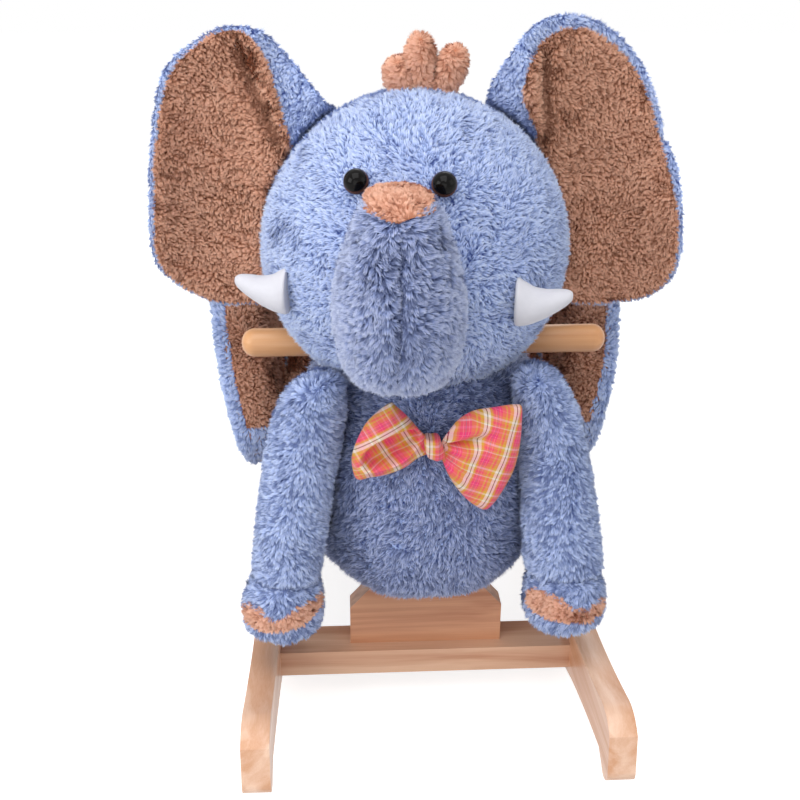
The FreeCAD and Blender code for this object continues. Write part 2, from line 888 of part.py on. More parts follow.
# Outline of a seat side, seen from its side, as shares of its half length and half height.
side_shares = [
    (0.984, -0.695), (1.0, 0.05), (0.984, 0.735), (0.888, 0.885), (0.681, 0.918), (0.07, 0.726),
    (-0.478, 0.437), (-0.851, 0.038), (-0.970, -0.451), (-0.82, -0.738), (-0.487, -0.888),
    (0.149, -0.933), (0.786, -0.888), (0.928, -0.822),
]
# Outline of the seat back, seen from the front, as shares of its half width and half height.
back_shares = [
    (0.96, -0.72), (1.0, -0.30), (1.0, 0.15), (0.851, 0.619), (0.459, 0.92), (0.0, 1.0),
    (-0.459, 0.92), (-0.851, 0.619), (-1.0, 0.15), (-1.0, -0.30), (-0.96, -0.72), (-0.88, -0.90),
    (-0.70, -0.97), (0.0, -1.0), (0.70, -0.97), (0.88, -0.90),
]
# Place through a padded wall's thickness, and how much of the lining's inset its outline draws in there.
pad_shares = [(0.0, 1.5), (0.10, 0.55), (0.30, 0.0), (0.70, 0.0), (0.90, 0.55), (1.0, 1.5)]


def pad_form(centre, side, up, through, half_side, half_up, thickness, shares):
    """A padded wall, thickest in its middle, with rounded edges all round."""
    rings = []
    for place, draw in pad_shares:
        inset = lining_inset * draw
        middle = centre + through * (thickness * (place - half_share))
        rings.append(ring(middle, side, up, half_side - inset, half_up - inset, shares))
    return loft(rings)


def lining_form(centre, side, up, through, half_side, half_up, shares):
    """The part of a padded wall inside its seam, from its front face to the lining's depth."""
    face = Part.Face(ring(centre, side, up, half_side - lining_inset, half_up - lining_inset, shares))
    return face.extrude(through)


def side_frame(side):
    """Centre and half sizes of a seat side."""
    middle_y = (seat_side_front + seat_back_front) / 2
    middle_z = (seat_side_bottom + seat_side_top) / 2
    centre = at(side * (seat_inner_half + seat_wall_thickness / 2), middle_y, middle_z)
    return centre, (seat_back_front - seat_side_front) / 2, (seat_side_top - seat_side_bottom) / 2


def lean_side(shape, side):
    """Leans a seat side outwards about its middle height."""
    shape.rotate(side_frame(side)[0], Y, side * seat_side_lean_deg)
    return shape


def make_seat_side(side, body, chest, board):
    """One side of the seat: its blue cover over the board, and its brown lining."""
    centre, half_long, half_high = side_frame(side)
    outward = X * side
    pad = pad_form(centre, Y, Z, outward, half_long, half_high, seat_wall_thickness, side_shares)
    inner = centre - outward * (seat_wall_thickness / 2 + overrun)
    depth = outward * (lining_depth + overrun)
    lining_tool = lining_form(inner, Y, Z, depth, half_long, half_high, side_shares)
    pad = lean_side(pad, side)
    lining_tool = lean_side(lining_tool, side)
    inside = [board, seat_board_block(), body, chest]
    lining = whole(pad.common(lining_tool).cut(Part.Compound(inside)))
    cover = whole(pad.cut(lining_tool).cut(Part.Compound(inside)))
    return cover, lining


def make_seat_back(body, board, side_covers):
    """The seat back: its blue cover over the board, and its brown lining."""
    middle_z = (seat_back_bottom + seat_back_top) / 2
    half_high = (seat_back_top - seat_back_bottom) / 2
    centre = at(0, seat_back_front + seat_back_thickness / 2, middle_z)
    pad = pad_form(centre, X, Z, Y, seat_back_half_width, half_high, seat_back_thickness, back_shares)
    inner = at(0, seat_back_front - overrun, middle_z)
    depth = Y * (lining_depth + overrun)
    lining_tool = lining_form(inner, X, Z, depth, seat_back_half_width, half_high, back_shares)
    inside = [board, seat_board_block(), body] + side_covers
    lining = whole(pad.common(lining_tool).cut(Part.Compound(inside)))
    cover = whole(pad.cut(lining_tool).cut(Part.Compound(inside)))
    return cover, lining


# Share of the cushion's thickness and how far its sides draw in there, as a share of its clearance.
cushion_shares = [(0.0, 1.2), (0.25, 0.0), (0.55, 0.0), (0.80, 1.0), (0.94, 4.0), (1.0, 9.0)]
cushion_outline_shares = [
    (0.98, -0.80), (1.0, 0.0), (0.98, 0.80), (0.95, 0.93), (0.82, 0.98), (0.0, 1.0),
    (-0.82, 0.98), (-0.95, 0.93), (-0.98, 0.80), (-1.0, 0.0), (-0.98, -0.80), (-0.95, -0.93),
    (-0.82, -0.98), (0.0, -1.0), (0.82, -0.98), (0.95, -0.93),
]


def make_cushion(others):
    """The seat cushion: crowned, its sides drawn in, flat where it rests on its board."""
    half_wide = seat_inner_half - cushion_clearance * 2
    half_long = (seat_back_front - seat_front) / 2 - cushion_clearance
    middle_y = (seat_back_front + seat_front) / 2
    rings = []
    for place, draw in cushion_shares:
        inset = cushion_clearance * draw
        middle = at(0, middle_y, seat_board_top + cushion_thickness * place)
        rings.append(ring(middle, X, Y, half_wide - inset, half_long - inset, cushion_outline_shares))
    return whole(loft(rings).cut(Part.Compound(others)))


# Bow

# Height on the knot and its thickness there, as shares of its radius.
knot_shares = [(-1.0, 0.55), (-0.6, 0.95), (0.0, 1.0), (0.6, 0.95), (1.0, 0.55)]
# Share of the loop's length, and of its half height and half depth there.
bow_shares = [(0.0, 0.30, 0.60), (0.25, 0.62, 1.0), (0.60, 0.92, 1.1), (0.90, 1.0, 0.7), (1.0, 0.94, 0.3)]


def make_bow_loop(side, drop_deg, chest):
    """One gathered loop of the bow, from the knot out and a little down or up."""
    drop = math.radians(drop_deg)
    along = at(side * math.cos(drop), 0, -math.sin(drop))
    up = at(side * math.sin(drop), 0, math.cos(drop))
    root = at(bow_x, bow_y, bow_z) + along * (bow_knot_length / 3)
    rings = []
    for place, high, deep in bow_shares:
        middle = root + along * (bow_loop_length * place)
        rings.append(ring(middle, up, Y, bow_loop_half_height * high, bow_loop_half_depth * deep))
    return whole(loft(rings).cut(chest))


def make_bow_knot(chest):
    """The band round the middle of the bow."""
    rings = []
    for level, thick in knot_shares:
        middle = at(bow_x, bow_y, bow_z + level * bow_knot_radius)
        rings.append(ring(middle, X, Y, bow_knot_length / 2 * thick, bow_knot_radius * thick))
    return whole(loft(rings).cut(chest))


# Assembly

parts = {}
for name, side in SIDES.items():
    parts["rocker_rail_" + name] = make_rail(side)
for name, end in ENDS.items():
    parts[name + "_crossbar"] = make_crossbar(end)
    parts[name + "_post"] = make_post(end)
parts["rail_bolts"] = Part.Compound([rail_bolt(side, y) for side, y in bolt_ends()])
parts["barrel_nuts"] = Part.Compound([barrel_nut(side, y) for side, y in bolt_ends()])
parts["post_screws"] = Part.Compound([s for end in ENDS.values() for s in post_screws(end)])

parts["keel_board"] = make_keel()
parts["front_riser"] = make_riser(front_riser_place)
parts["rear_riser"] = make_riser(rear_riser_place)
parts["seat_board"] = make_seat_board()
parts["back_board"] = make_back_board()
parts["neck_post"] = make_neck_post()
parts["handle_bar"] = make_handle_bar()
frame_screws = keel_screws(ENDS["front"]) + keel_screws(ENDS["rear"]) + neck_screws()
frame_screws += seat_screws() + side_screws(LEFT) + side_screws(RIGHT) + back_screws()
parts["frame_screws"] = Part.Compound(frame_screws)
for name, side in SIDES.items():
    parts["side_board_" + name] = make_side_board(side)

head_ball = make_head_ball()
ear_keep_offs = []
for name, side in SIDES.items():
    ear_back, ear_lining, keep_off = make_ear(name)
    parts["ear_" + name] = ear_back
    parts["ear_lining_" + name] = ear_lining
    ear_keep_offs.append(keep_off)
eyes = [make_eye(side) for side in SIDES.values()]
washers = [make_washer(side) for side in SIDES.values()]
for name, eye in zip(SIDES, eyes):
    parts["eye_" + name] = eye
parts["eye_washers"] = Part.Compound(washers)
head_cuts = ear_keep_offs + eyes + washers + [neck_block(), make_handle_bar()]
parts["head"] = whole(head_ball.cut(Part.Compound(head_cuts)))

trunk = whole(make_trunk_form().cut(head_ball))
parts["trunk"] = trunk
parts["trunk_patch"] = make_trunk_patch(trunk)
for name, side in SIDES.items():
    parts["tusk_" + name] = make_tusk(side, head_ball)
parts["hair_tuft"] = make_tuft(head_ball)

torso = make_torso()
parts["body"] = make_body(torso)
parts["chest"] = make_chest(torso, head_ball)

for name, side in SIDES.items():
    leg = leg_form(side)
    parts["front_leg_" + name] = leg
    parts["hoof_patch_" + name] = make_hoof_patch(side, leg)

side_covers = []
for name, side in SIDES.items():
    board = parts["side_board_" + name].fuse(Part.Compound(side_screws(side)))
    cover, lining = make_seat_side(side, parts["body"], parts["chest"], board)
    parts["seat_side_" + name] = cover
    parts["seat_side_lining_" + name] = lining
    side_covers += [cover, lining]
back_board = parts["back_board"].fuse(Part.Compound(back_screws()))
side_boards = [parts["side_board_" + name] for name in SIDES]
back_cover, back_lining = make_seat_back(parts["body"], back_board, side_covers + side_boards)
parts["seat_back"] = back_cover
parts["seat_back_lining"] = back_lining
parts["seat_cushion"] = make_cushion(side_covers + [back_cover, back_lining, parts["chest"]])

parts["bow_loop_left"] = make_bow_loop(LEFT, bow_left_drop_deg, parts["chest"])
parts["bow_loop_right"] = make_bow_loop(RIGHT, bow_right_drop_deg, parts["chest"])
loops = parts["bow_loop_left"].fuse(parts["bow_loop_right"])
parts["bow_knot"] = make_bow_knot(parts["chest"].fuse(loops))

os.makedirs("parts", exist_ok=True)
for name, shape in parts.items():
    shape.exportStep("parts/" + name + ".step")
    print(name, len(shape.Solids), round(shape.Volume), shape.isValid())
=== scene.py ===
import math
import bpy
import numpy as np
from mathutils import Matrix


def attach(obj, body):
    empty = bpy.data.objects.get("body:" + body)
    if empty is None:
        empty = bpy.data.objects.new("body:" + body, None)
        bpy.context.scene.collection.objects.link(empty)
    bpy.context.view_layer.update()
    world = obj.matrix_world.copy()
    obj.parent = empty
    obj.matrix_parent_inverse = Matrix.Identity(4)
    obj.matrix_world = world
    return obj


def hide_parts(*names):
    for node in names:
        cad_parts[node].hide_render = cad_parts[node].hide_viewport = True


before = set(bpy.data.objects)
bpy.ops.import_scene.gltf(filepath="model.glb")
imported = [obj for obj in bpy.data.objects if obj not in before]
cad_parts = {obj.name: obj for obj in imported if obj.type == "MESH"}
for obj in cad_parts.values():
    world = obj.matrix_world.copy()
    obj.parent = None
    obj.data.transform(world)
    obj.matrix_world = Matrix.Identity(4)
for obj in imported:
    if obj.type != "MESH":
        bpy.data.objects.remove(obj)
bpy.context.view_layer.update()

mm = 0.001

# Studio. The toy stands on a plain white sweep under a broad lamp from above and weaker ones round
# it, named as the picture shows them. The camera looks down on it from a little to the rider's right.


def paint(red, green, blue):
    """A screen colour from 0 to 255 a channel, as the linear light that shaders take: share / 12.92 in
    the darkest part, and ((share + 0.055) / 1.055) ^ 2.4 above it."""
    share = np.array([red, green, blue]) / 255
    linear = np.where(share <= 0.04045, share / 12.92, ((share + 0.055) / 1.055) ** 2.4)
    return (*linear.tolist(), 1.0)


def node(tree, kind, inputs=None, **settings):
    """One shader node. Each of its inputs takes a value or another node's output."""
    new = tree.nodes.new(kind)
    for key, value in settings.items():
        setattr(new, key, value)
    for key, value in (inputs or {}).items():
        if isinstance(value, bpy.types.NodeSocket):
            tree.links.new(value, new.inputs[key])
        else:
            new.inputs[key].default_value = value
    return new


view_pitch, view_yaw, view_roll = 0.420, 0.0544, -0.0051
sensor_width, lens_length = 36.0, 47.25
view_place = np.array([-59.93, -846.65, 578.08]) * mm
ahead = np.array([
    math.sin(view_yaw) * math.cos(view_pitch), math.cos(view_yaw) * math.cos(view_pitch),
    -math.sin(view_pitch),
])
level = np.array([math.cos(view_yaw), -math.sin(view_yaw), 0.0])
below = np.cross(ahead, level)
rightward = math.cos(view_roll) * level + math.sin(view_roll) * below
downward = math.cos(view_roll) * below - math.sin(view_roll) * level
camera_data = bpy.data.cameras.new("camera")
camera_data.sensor_width = sensor_width
camera_data.lens = lens_length
camera = bpy.data.objects.new("camera", camera_data)
bpy.context.collection.objects.link(camera)
turn = np.eye(4)
turn[:3, :3] = np.stack([rightward, -downward, -ahead], axis=1)
turn[:3, 3] = view_place
camera.matrix_world = Matrix(turn.tolist())
bpy.context.scene.camera = camera
bpy.context.scene.view_settings.view_transform = "Standard"


def softbox(name, place, aim, size, power):
    """A square lamp at place that shines towards aim."""
    lamp = bpy.data.lights.new(name, "AREA")
    lamp.shape = "SQUARE"
    lamp.size = size
    lamp.energy = power
    holder = bpy.data.objects.new(name, lamp)
    bpy.context.collection.objects.link(holder)
    back = np.array(place) - np.array(aim)
    back = back / np.linalg.norm(back)
    across = np.cross([0.0, 1.0, 0.0], back)
    across = across / np.linalg.norm(across)
    turned = np.eye(4)
    turned[:3, :3] = np.stack([across, np.cross(back, across), back], axis=1)
    turned[:3, 3] = place
    holder.matrix_world = Matrix(turned.tolist())


toy_middle = (0.0, -0.05, 0.25)
softbox("top_lamp", (-0.2, -0.7, 1.75), toy_middle, 1.3, 15.0)
softbox("left_lamp", (-1.5, -1.0, 0.9), toy_middle, 1.0, 12.0)
softbox("right_lamp", (1.5, -0.8, 1.0), toy_middle, 1.0, 3.0)
softbox("front_lamp", (-0.2, -1.7, 0.35), (0.0, -0.05, 0.30), 1.2, 6.5)
softbox("back_lamp", (0.3, 1.5, 1.3), (0.0, 0.0, 0.25), 1.0, 8.0)


def shown_rays(tree):
    """1 for a ray that shows the backdrop: from the camera, or off or through something glossy."""
    path = node(tree, "ShaderNodeLightPath")
    seen = node(tree, "ShaderNodeMath", {0: path.outputs["Is Camera Ray"], 1: path.outputs["Is Glossy Ray"]},
                operation="MAXIMUM")
    both = node(tree, "ShaderNodeMath", {0: seen.outputs[0], 1: path.outputs["Is Transmission Ray"]},
                operation="MAXIMUM")
    return both.outputs[0]


world = bpy.data.worlds.new("studio")
bpy.context.scene.world = world
world.use_nodes = True
sky = world.node_tree
sky.nodes.clear()
white = (1.0, 1.0, 1.0, 1.0)
room_light = node(sky, "ShaderNodeBackground", {"Color": white, "Strength": 0.46})
white_wall = node(sky, "ShaderNodeBackground", {"Color": white, "Strength": 1.0})
walls = node(sky, "ShaderNodeMixShader",
             {0: shown_rays(sky), 1: room_light.outputs[0], 2: white_wall.outputs[0]})
node(sky, "ShaderNodeOutputWorld", {"Surface": walls.outputs[0]})

floor_half, floor_level = 6.0, -0.0003
floor_mesh = bpy.data.meshes.new("floor")
floor_corners = [(x * floor_half, y * floor_half, floor_level)
                 for x, y in ((-1, -1), (1, -1), (1, 1), (-1, 1))]
floor_mesh.from_pydata(floor_corners, [], [(0, 1, 2, 3)])
floor = bpy.data.objects.new("floor", floor_mesh)
bpy.context.collection.objects.link(floor)
floor_paint = bpy.data.materials.new("floor_white")
floor_paint.use_nodes = True
ground = floor_paint.node_tree
ground.nodes.clear()
chalk = node(ground, "ShaderNodeBsdfDiffuse", {"Color": (0.62, 0.62, 0.62, 1.0)})
glow_strength = node(ground, "ShaderNodeMath", {0: shown_rays(ground), 1: 0.75}, operation="MULTIPLY")
glow = node(ground, "ShaderNodeEmission", {"Color": white, "Strength": glow_strength.outputs[0]})
lit_floor = node(ground, "ShaderNodeAddShader", {0: chalk.outputs[0], 1: glow.outputs[0]})
node(ground, "ShaderNodeOutputMaterial", {"Surface": lit_floor.outputs[0]})
floor_mesh.materials.append(floor_paint)

# Rocker base. Pale hardwood board under a clear satin varnish: the rockers and crossbars are sawn
# to shape, their edges eased with a round cutter, and bolted; each post block stands on a crossbar.


def mixed(tree, share, first, second):
    """first blended into second by share, as colours."""
    return node(tree, "ShaderNodeMix", {0: share, 6: first, 7: second}, data_type="RGBA").outputs[2]


def sums(tree, operation, *values):
    """One Math node on the values."""
    return node(tree, "ShaderNodeMath", dict(enumerate(values)), operation=operation).outputs[0]


def scaled(tree, vector, scale):
    """The vector times three numbers."""
    return node(tree, "ShaderNodeVectorMath", {0: vector, 1: scale}, operation="MULTIPLY").outputs[0]


def group_with(name, inputs, outputs):
    """An empty node group with named sockets, its tree, its input node and its output node."""
    tree = bpy.data.node_groups.new(name, "ShaderNodeTree")
    for socket, kind in inputs:
        tree.interface.new_socket(socket, in_out="INPUT", socket_type="NodeSocket" + kind)
    for socket, kind in outputs:
        tree.interface.new_socket(socket, in_out="OUTPUT", socket_type="NodeSocket" + kind)
    return tree, tree.nodes.new("NodeGroupInput").outputs, tree.nodes.new("NodeGroupOutput").inputs


grain, given, put = group_with(
    "wood_grain", [("Place", "Vector"), ("Pale", "Color"), ("Deep", "Color")],
    [("Color", "Color"), ("Roughness", "Float"), ("Height", "Float")])
wander = node(grain, "ShaderNodeTexNoise", {
    "Vector": scaled(grain, given["Place"], (3.0, 14.0, 14.0)), "Scale": 1.0, "Detail": 2.0})
bent = node(grain, "ShaderNodeVectorMath", {
    0: scaled(grain, given["Place"], (1.4, 62.0, 62.0)),
    1: scaled(grain, wander.outputs["Color"], (0.0, 3.4, 3.4))}, operation="ADD")
rings_seen = node(grain, "ShaderNodeTexNoise", {
    "Vector": bent.outputs[0], "Scale": 1.0, "Detail": 3.0, "Roughness": 0.55})
fibres = node(grain, "ShaderNodeTexNoise", {
    "Vector": scaled(grain, given["Place"], (24.0, 1100.0, 1100.0)), "Scale": 1.0, "Detail": 2.0})
broad = node(grain, "ShaderNodeTexNoise", {
    "Vector": scaled(grain, given["Place"], (2.0, 9.0, 9.0)), "Scale": 1.0})
rings_share = node(grain, "ShaderNodeMapRange", {
    "Value": rings_seen.outputs[0], "From Min": 0.40, "From Max": 0.62})
board_share = sums(grain, "MULTIPLY_ADD", fibres.outputs[0], 0.34,
                   sums(grain, "MULTIPLY_ADD", rings_share.outputs[0], 0.62,
                        sums(grain, "MULTIPLY_ADD", broad.outputs[0], 1.1, -0.62)))
board_colour = mixed(grain, sums(grain, "MINIMUM", sums(grain, "MAXIMUM", board_share, 0.0), 1.0),
                     given["Pale"], given["Deep"])
grain.links.new(board_colour, put["Color"])
grain.links.new(sums(grain, "MULTIPLY_ADD", fibres.outputs[0], 0.16, 0.36), put["Roughness"])
grain.links.new(fibres.outputs[0], put["Height"])


def finish_of(name, metallic=0.0, coat=0.0, sheen=0.0, sheen_tint=(1.0, 1.0, 1.0, 1.0), gloss=0.5):
    """A new material: its tree and its one Principled shader, with what is the same all over set on it."""
    made = bpy.data.materials.new(name)
    made.use_nodes = True
    tree = made.node_tree
    tree.nodes.clear()
    shader = tree.nodes.new("ShaderNodeBsdfPrincipled")
    shader.inputs["Metallic"].default_value = metallic
    shader.inputs["Coat Weight"].default_value = coat
    shader.inputs["Coat Roughness"].default_value = 0.18
    shader.inputs["Sheen Weight"].default_value = sheen
    shader.inputs["Sheen Roughness"].default_value = 0.5
    shader.inputs["Sheen Tint"].default_value = sheen_tint
    shader.inputs["Specular IOR Level"].default_value = gloss
    node(tree, "ShaderNodeOutputMaterial", {"Surface": shader.outputs[0]})
    return made, tree, shader.inputs


def wood(name, turned, pale, deep, bump=0.08):
    """Varnished board whose grain runs along X once the object's place is turned by these angles."""
    made, tree, sockets = finish_of(name, coat=0.25, gloss=0.4)
    place = node(tree, "ShaderNodeMapping", {
        "Vector": node(tree, "ShaderNodeTexCoord").outputs["Object"], "Rotation": turned})
    board = node(tree, "ShaderNodeGroup", node_tree=grain)
    tree.links.new(place.outputs[0], board.inputs["Place"])
    board.inputs["Pale"].default_value = pale
    board.inputs["Deep"].default_value = deep
    tree.links.new(board.outputs["Color"], sockets["Base Color"])
    tree.links.new(board.outputs["Roughness"], sockets["Roughness"])
    relief = node(tree, "ShaderNodeBump", {
        "Height": board.outputs["Height"], "Strength": bump, "Distance": 0.5 * mm})
    tree.links.new(relief.outputs[0], sockets["Normal"])
    return made


bolt_y, bolt_z, bolt_clear = 138.5 * mm, 26.0 * mm, 12.0 * mm
sharp_from = math.radians(40)
edge_pick = bpy.data.node_groups.new("edge_pick", "GeometryNodeTree")
edge_pick.interface.new_socket("Mesh", in_out="INPUT", socket_type="NodeSocketGeometry")
edge_pick.interface.new_socket("Mesh", in_out="OUTPUT", socket_type="NodeSocketGeometry")
edge_angle = node(edge_pick, "GeometryNodeInputMeshEdgeAngle").outputs["Unsigned Angle"]
edge_at = node(edge_pick, "ShaderNodeSeparateXYZ", {
    0: node(edge_pick, "GeometryNodeInputPosition").outputs[0]})
off_bolt = sums(edge_pick, "SUBTRACT", sums(edge_pick, "ABSOLUTE", edge_at.outputs[1]), bolt_y)
over_bolt = sums(edge_pick, "SUBTRACT", edge_at.outputs[2], bolt_z)
from_bolt = sums(edge_pick, "SQRT", sums(edge_pick, "MULTIPLY_ADD", off_bolt, off_bolt,
                                         sums(edge_pick, "MULTIPLY", over_bolt, over_bolt)))
picked = sums(edge_pick, "MULTIPLY", sums(edge_pick, "GREATER_THAN", edge_angle, sharp_from),
              sums(edge_pick, "GREATER_THAN", from_bolt, bolt_clear))
stored = node(edge_pick, "GeometryNodeStoreNamedAttribute", {
    "Geometry": edge_pick.nodes.new("NodeGroupInput").outputs[0], "Name": "bevel_weight_edge",
    "Value": picked}, data_type="FLOAT", domain="EDGE")
edge_pick.links.new(stored.outputs[0], edge_pick.nodes.new("NodeGroupOutput").inputs[0])


def dress(name, material, edge=0.0):
    """A CAD node in its own finish. Where edge is given, its sharp edges are rounded by that many
    metres, but for those of the bolt holes."""
    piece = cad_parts[name]
    if not piece.material_slots:
        piece.data.materials.append(material)
    for held in piece.material_slots:
        held.link = "OBJECT"
        held.material = material
    if edge:
        weld = piece.modifiers.new("joined", "WELD")
        weld.merge_threshold = 0.01 * mm
        piece.modifiers.new("sharp_edges", "NODES").node_group = edge_pick
        ease = piece.modifiers.new("eased", "BEVEL")
        ease.width = edge
        ease.segments = 3
        ease.limit_method = "WEIGHT"
        ease.harden_normals = True
    return piece


quarter = math.pi / 2
# The crossbars' and post blocks' wood is darker than the rails', in part as painted shade for these low parts
# under the body.
pale_board, deep_board = paint(222, 180, 150), paint(176, 116, 82)
along_rail = wood("rail_wood", (0.0, 0.0, quarter), paint(242, 208, 184), paint(206, 148, 108))
along_bar = wood("bar_wood", (0.0, 0.0, 0.0), pale_board, deep_board)
block_wood = wood("block_wood", (0.06, 0.0, 0.0), paint(208, 152, 116), paint(160, 96, 64))
rail_edge, bar_edge = 2.2 * mm, 2.0 * mm
for rail in ("rocker_rail_left", "rocker_rail_right"):
    dress(rail, along_rail, rail_edge)
for bar in ("front_crossbar", "rear_crossbar"):
    dress(bar, along_bar, bar_edge)
for post in ("front_post", "rear_post"):
    dress(post, block_wood, bar_edge)

# Frame inside the plush, its fasteners and the handle. Plain boards screwed together under the
# stuffing, and a round bar through the neck post, yellower than the boards, with rounded ends.

handle_wood = wood("handle_wood", (0.0, 0.0, 0.0), paint(222, 166, 116), paint(188, 118, 66), bump=0.05)
dress("handle_bar", handle_wood)
raw_board = wood("raw_board", (0.0, 0.0, quarter), paint(216, 180, 134), paint(180, 134, 88), bump=0.2)
for board in ("keel_board", "front_riser", "rear_riser", "seat_board", "side_board_left",
              "side_board_right", "back_board", "neck_post"):
    dress(board, raw_board)

zinc, zinc_tree, zinc_sockets = finish_of("zinc_steel", metallic=1.0)
brushed = node(zinc_tree, "ShaderNodeTexNoise", {
    "Vector": node(zinc_tree, "ShaderNodeTexCoord").outputs["Object"], "Scale": 900.0, "Detail": 3.0})
zinc_tree.links.new(mixed(zinc_tree, brushed.outputs[0], paint(176, 178, 180), paint(214, 215, 216)),
                    zinc_sockets["Base Color"])
zinc_tree.links.new(sums(zinc_tree, "MULTIPLY_ADD", brushed.outputs[0], 0.3, 0.25), zinc_sockets["Roughness"])
for fastener in ("rail_bolts", "barrel_nuts", "post_screws", "frame_screws"):
    dress(fastener, zinc)
washer_white, washer_tree, washer_sockets = finish_of("washer_plastic")
speckle = node(washer_tree, "ShaderNodeTexNoise", {
    "Vector": node(washer_tree, "ShaderNodeTexCoord").outputs["Object"], "Scale": 400.0})
washer_tree.links.new(mixed(washer_tree, speckle.outputs[0], paint(214, 214, 208), paint(236, 236, 232)),
                      washer_sockets["Base Color"])
washer_tree.links.new(sums(washer_tree, "MULTIPLY_ADD", speckle.outputs[0], 0.2, 0.45),
                      washer_sockets["Roughness"])
dress("eye_washers", washer_white)

# Torso. One stuffed barrel of blue pile fabric that stands on the keel board, rises in front as the
# chest and is cut down behind it for the seat. The front legs lie in a hollow at each shoulder.


def eased(table, count):
    """The table's rows as count rows: each column is a cubic in the row's number that passes through
    every row with the slope of its neighbours, and is straight past the ends."""
    table = np.asarray(table, float)
    place = np.linspace(0, len(table) - 1, count)
    low = np.minimum(place.astype(int), len(table) - 2)
    part = (place - low)[:, None]
    held = np.vstack([2 * table[:1] - table[1:2], table, 2 * table[-1:] - table[-2:-1]])
    before, start, end, after = (held[low + step] for step in range(4))
    bend = 3 * (start - end) + after - before
    return start + part / 2 * (end - before + part * (2 * before - 5 * start + 4 * end - after + part * bend))


def rings(table, across, over, rows, cols):
    """Rings carried along a path. Each of the table's rows is centre x, y, z, half width, half depth
    and roundness p, and a ring's point at an angle is its centre + across * half width * cos ^ p
    + over * half depth * sin ^ p, each power with the sign of its cosine or sine."""
    t = eased(table, rows)
    angle = np.linspace(0, 2 * np.pi, cols, endpoint=False)
    wide, deep = np.cos(angle), np.sin(angle)
    wide = np.sign(wide) * np.abs(wide) ** t[:, 5:6]
    deep = np.sign(deep) * np.abs(deep) ** t[:, 5:6]
    half_wide, half_deep = np.maximum(t[:, 3:4], 0.0), np.maximum(t[:, 4:5], 0.0)
    around = (half_wide * wide)[..., None] * np.asarray(across, float)
    return (t[:, None, :3] + around + (half_deep * deep)[..., None] * np.asarray(over, float)) * mm


def outward(grid):
    """Unit normals of a grid that closes round its columns: the cross product of its two central
    differences, turned to point away from the grid's inside."""
    down = np.gradient(grid, axis=0)
    round_ = np.roll(grid, -1, axis=1) - np.roll(grid, 1, axis=1)
    normal = np.cross(down, round_)
    normal = normal / np.maximum(np.linalg.norm(normal, axis=2, keepdims=True), 1e-12)
    centre = grid.mean(axis=(0, 1))
    return normal * np.sign((normal * (grid - centre)).sum(axis=2).sum())


def link_mesh(name, mesh, material):
    """An object for the mesh, in its material, smooth all over."""
    mesh.materials.append(material)
    mesh.polygons.foreach_set("use_smooth", np.full(len(mesh.polygons), True))
    mesh.update()
    piece = bpy.data.objects.new(name, mesh)
    bpy.context.collection.objects.link(piece)
    return piece


def closed_faces(rows, cols):
    """Corner numbers of a closed grid's faces: a fan from the first point to the first ring, a strip
    of quads from each ring to the next, and a fan from the last ring to the last point."""
    row, col = np.meshgrid(np.arange(rows - 1), np.arange(cols), indexing="ij")
    beside = (col + 1) % cols
    here, below_it = row * cols, (row + 1) * cols
    quads = np.stack([here + col, here + beside, below_it + beside, below_it + col], axis=2)
    quads = quads.reshape(-1, 4) + 1
    turn_round = np.arange(cols)
    ahead_one = (turn_round + 1) % cols
    top = np.stack([np.zeros(cols, int), 1 + ahead_one, 1 + turn_round], axis=1)
    last_ring = 1 + (rows - 1) * cols
    end = np.stack([np.full(cols, last_ring + cols), last_ring + turn_round, last_ring + ahead_one], axis=1)
    return quads, np.vstack([top, end])


def skin(name, grids, material):
    """A closed mesh of one or more grids, each with its first and its last ring closed by a fan to
    that ring's middle, turned where needed so that the mesh's signed volume is positive."""
    points, quads, fans, first = [], [], [], 0
    for grid in grids:
        rows, cols = grid.shape[:2]
        body = np.vstack([grid[:1].mean(axis=1), grid.reshape(-1, 3), grid[-1:].mean(axis=1)])
        four, three = closed_faces(rows, cols)
        a, b, c = (body[three[:, k]] for k in range(3))
        p, q, r, s = (body[four[:, k]] for k in range(4))
        volume = (a * np.cross(b, c)).sum() + (p * np.cross(q, r)).sum() + (p * np.cross(r, s)).sum()
        if volume < 0:
            four, three = four[:, ::-1], three[:, ::-1]
        points.append(body)
        quads.append(four + first)
        fans.append(three + first)
        first += len(body)
    points, quads, fans = np.vstack(points), np.vstack(quads), np.vstack(fans)
    mesh = bpy.data.meshes.new(name)
    mesh.vertices.add(len(points))
    mesh.vertices.foreach_set("co", points.ravel())
    mesh.loops.add(quads.size + fans.size)
    mesh.loops.foreach_set("vertex_index", np.concatenate([quads.ravel(), fans.ravel()]))
    mesh.polygons.add(len(quads) + len(fans))
    starts = np.concatenate([np.arange(len(quads)) * 4, quads.size + np.arange(len(fans)) * 3])
    mesh.polygons.foreach_set("loop_start", starts)
    mesh.polygons.foreach_set("loop_total", np.repeat([4, 3], [len(quads), len(fans)]))
    return link_mesh(name, mesh, material)


def drift(points, size, seed):
    """A slow wandering value at each point, about -1 to 1: 1.9 times the mean of seven sine waves that
    run in seeded directions, with lengths near size metres."""
    waves = 7
    dice = np.random.default_rng(seed)
    ways = dice.normal(size=(waves, 3))
    ways = ways / np.linalg.norm(ways, axis=1, keepdims=True) * dice.uniform(0.6, 1.7, (waves, 1))
    phases = dice.uniform(0, 2 * np.pi, waves)
    return np.sin(points @ ways.T * (2 * np.pi / size) + phases).mean(axis=-1) * 1.9


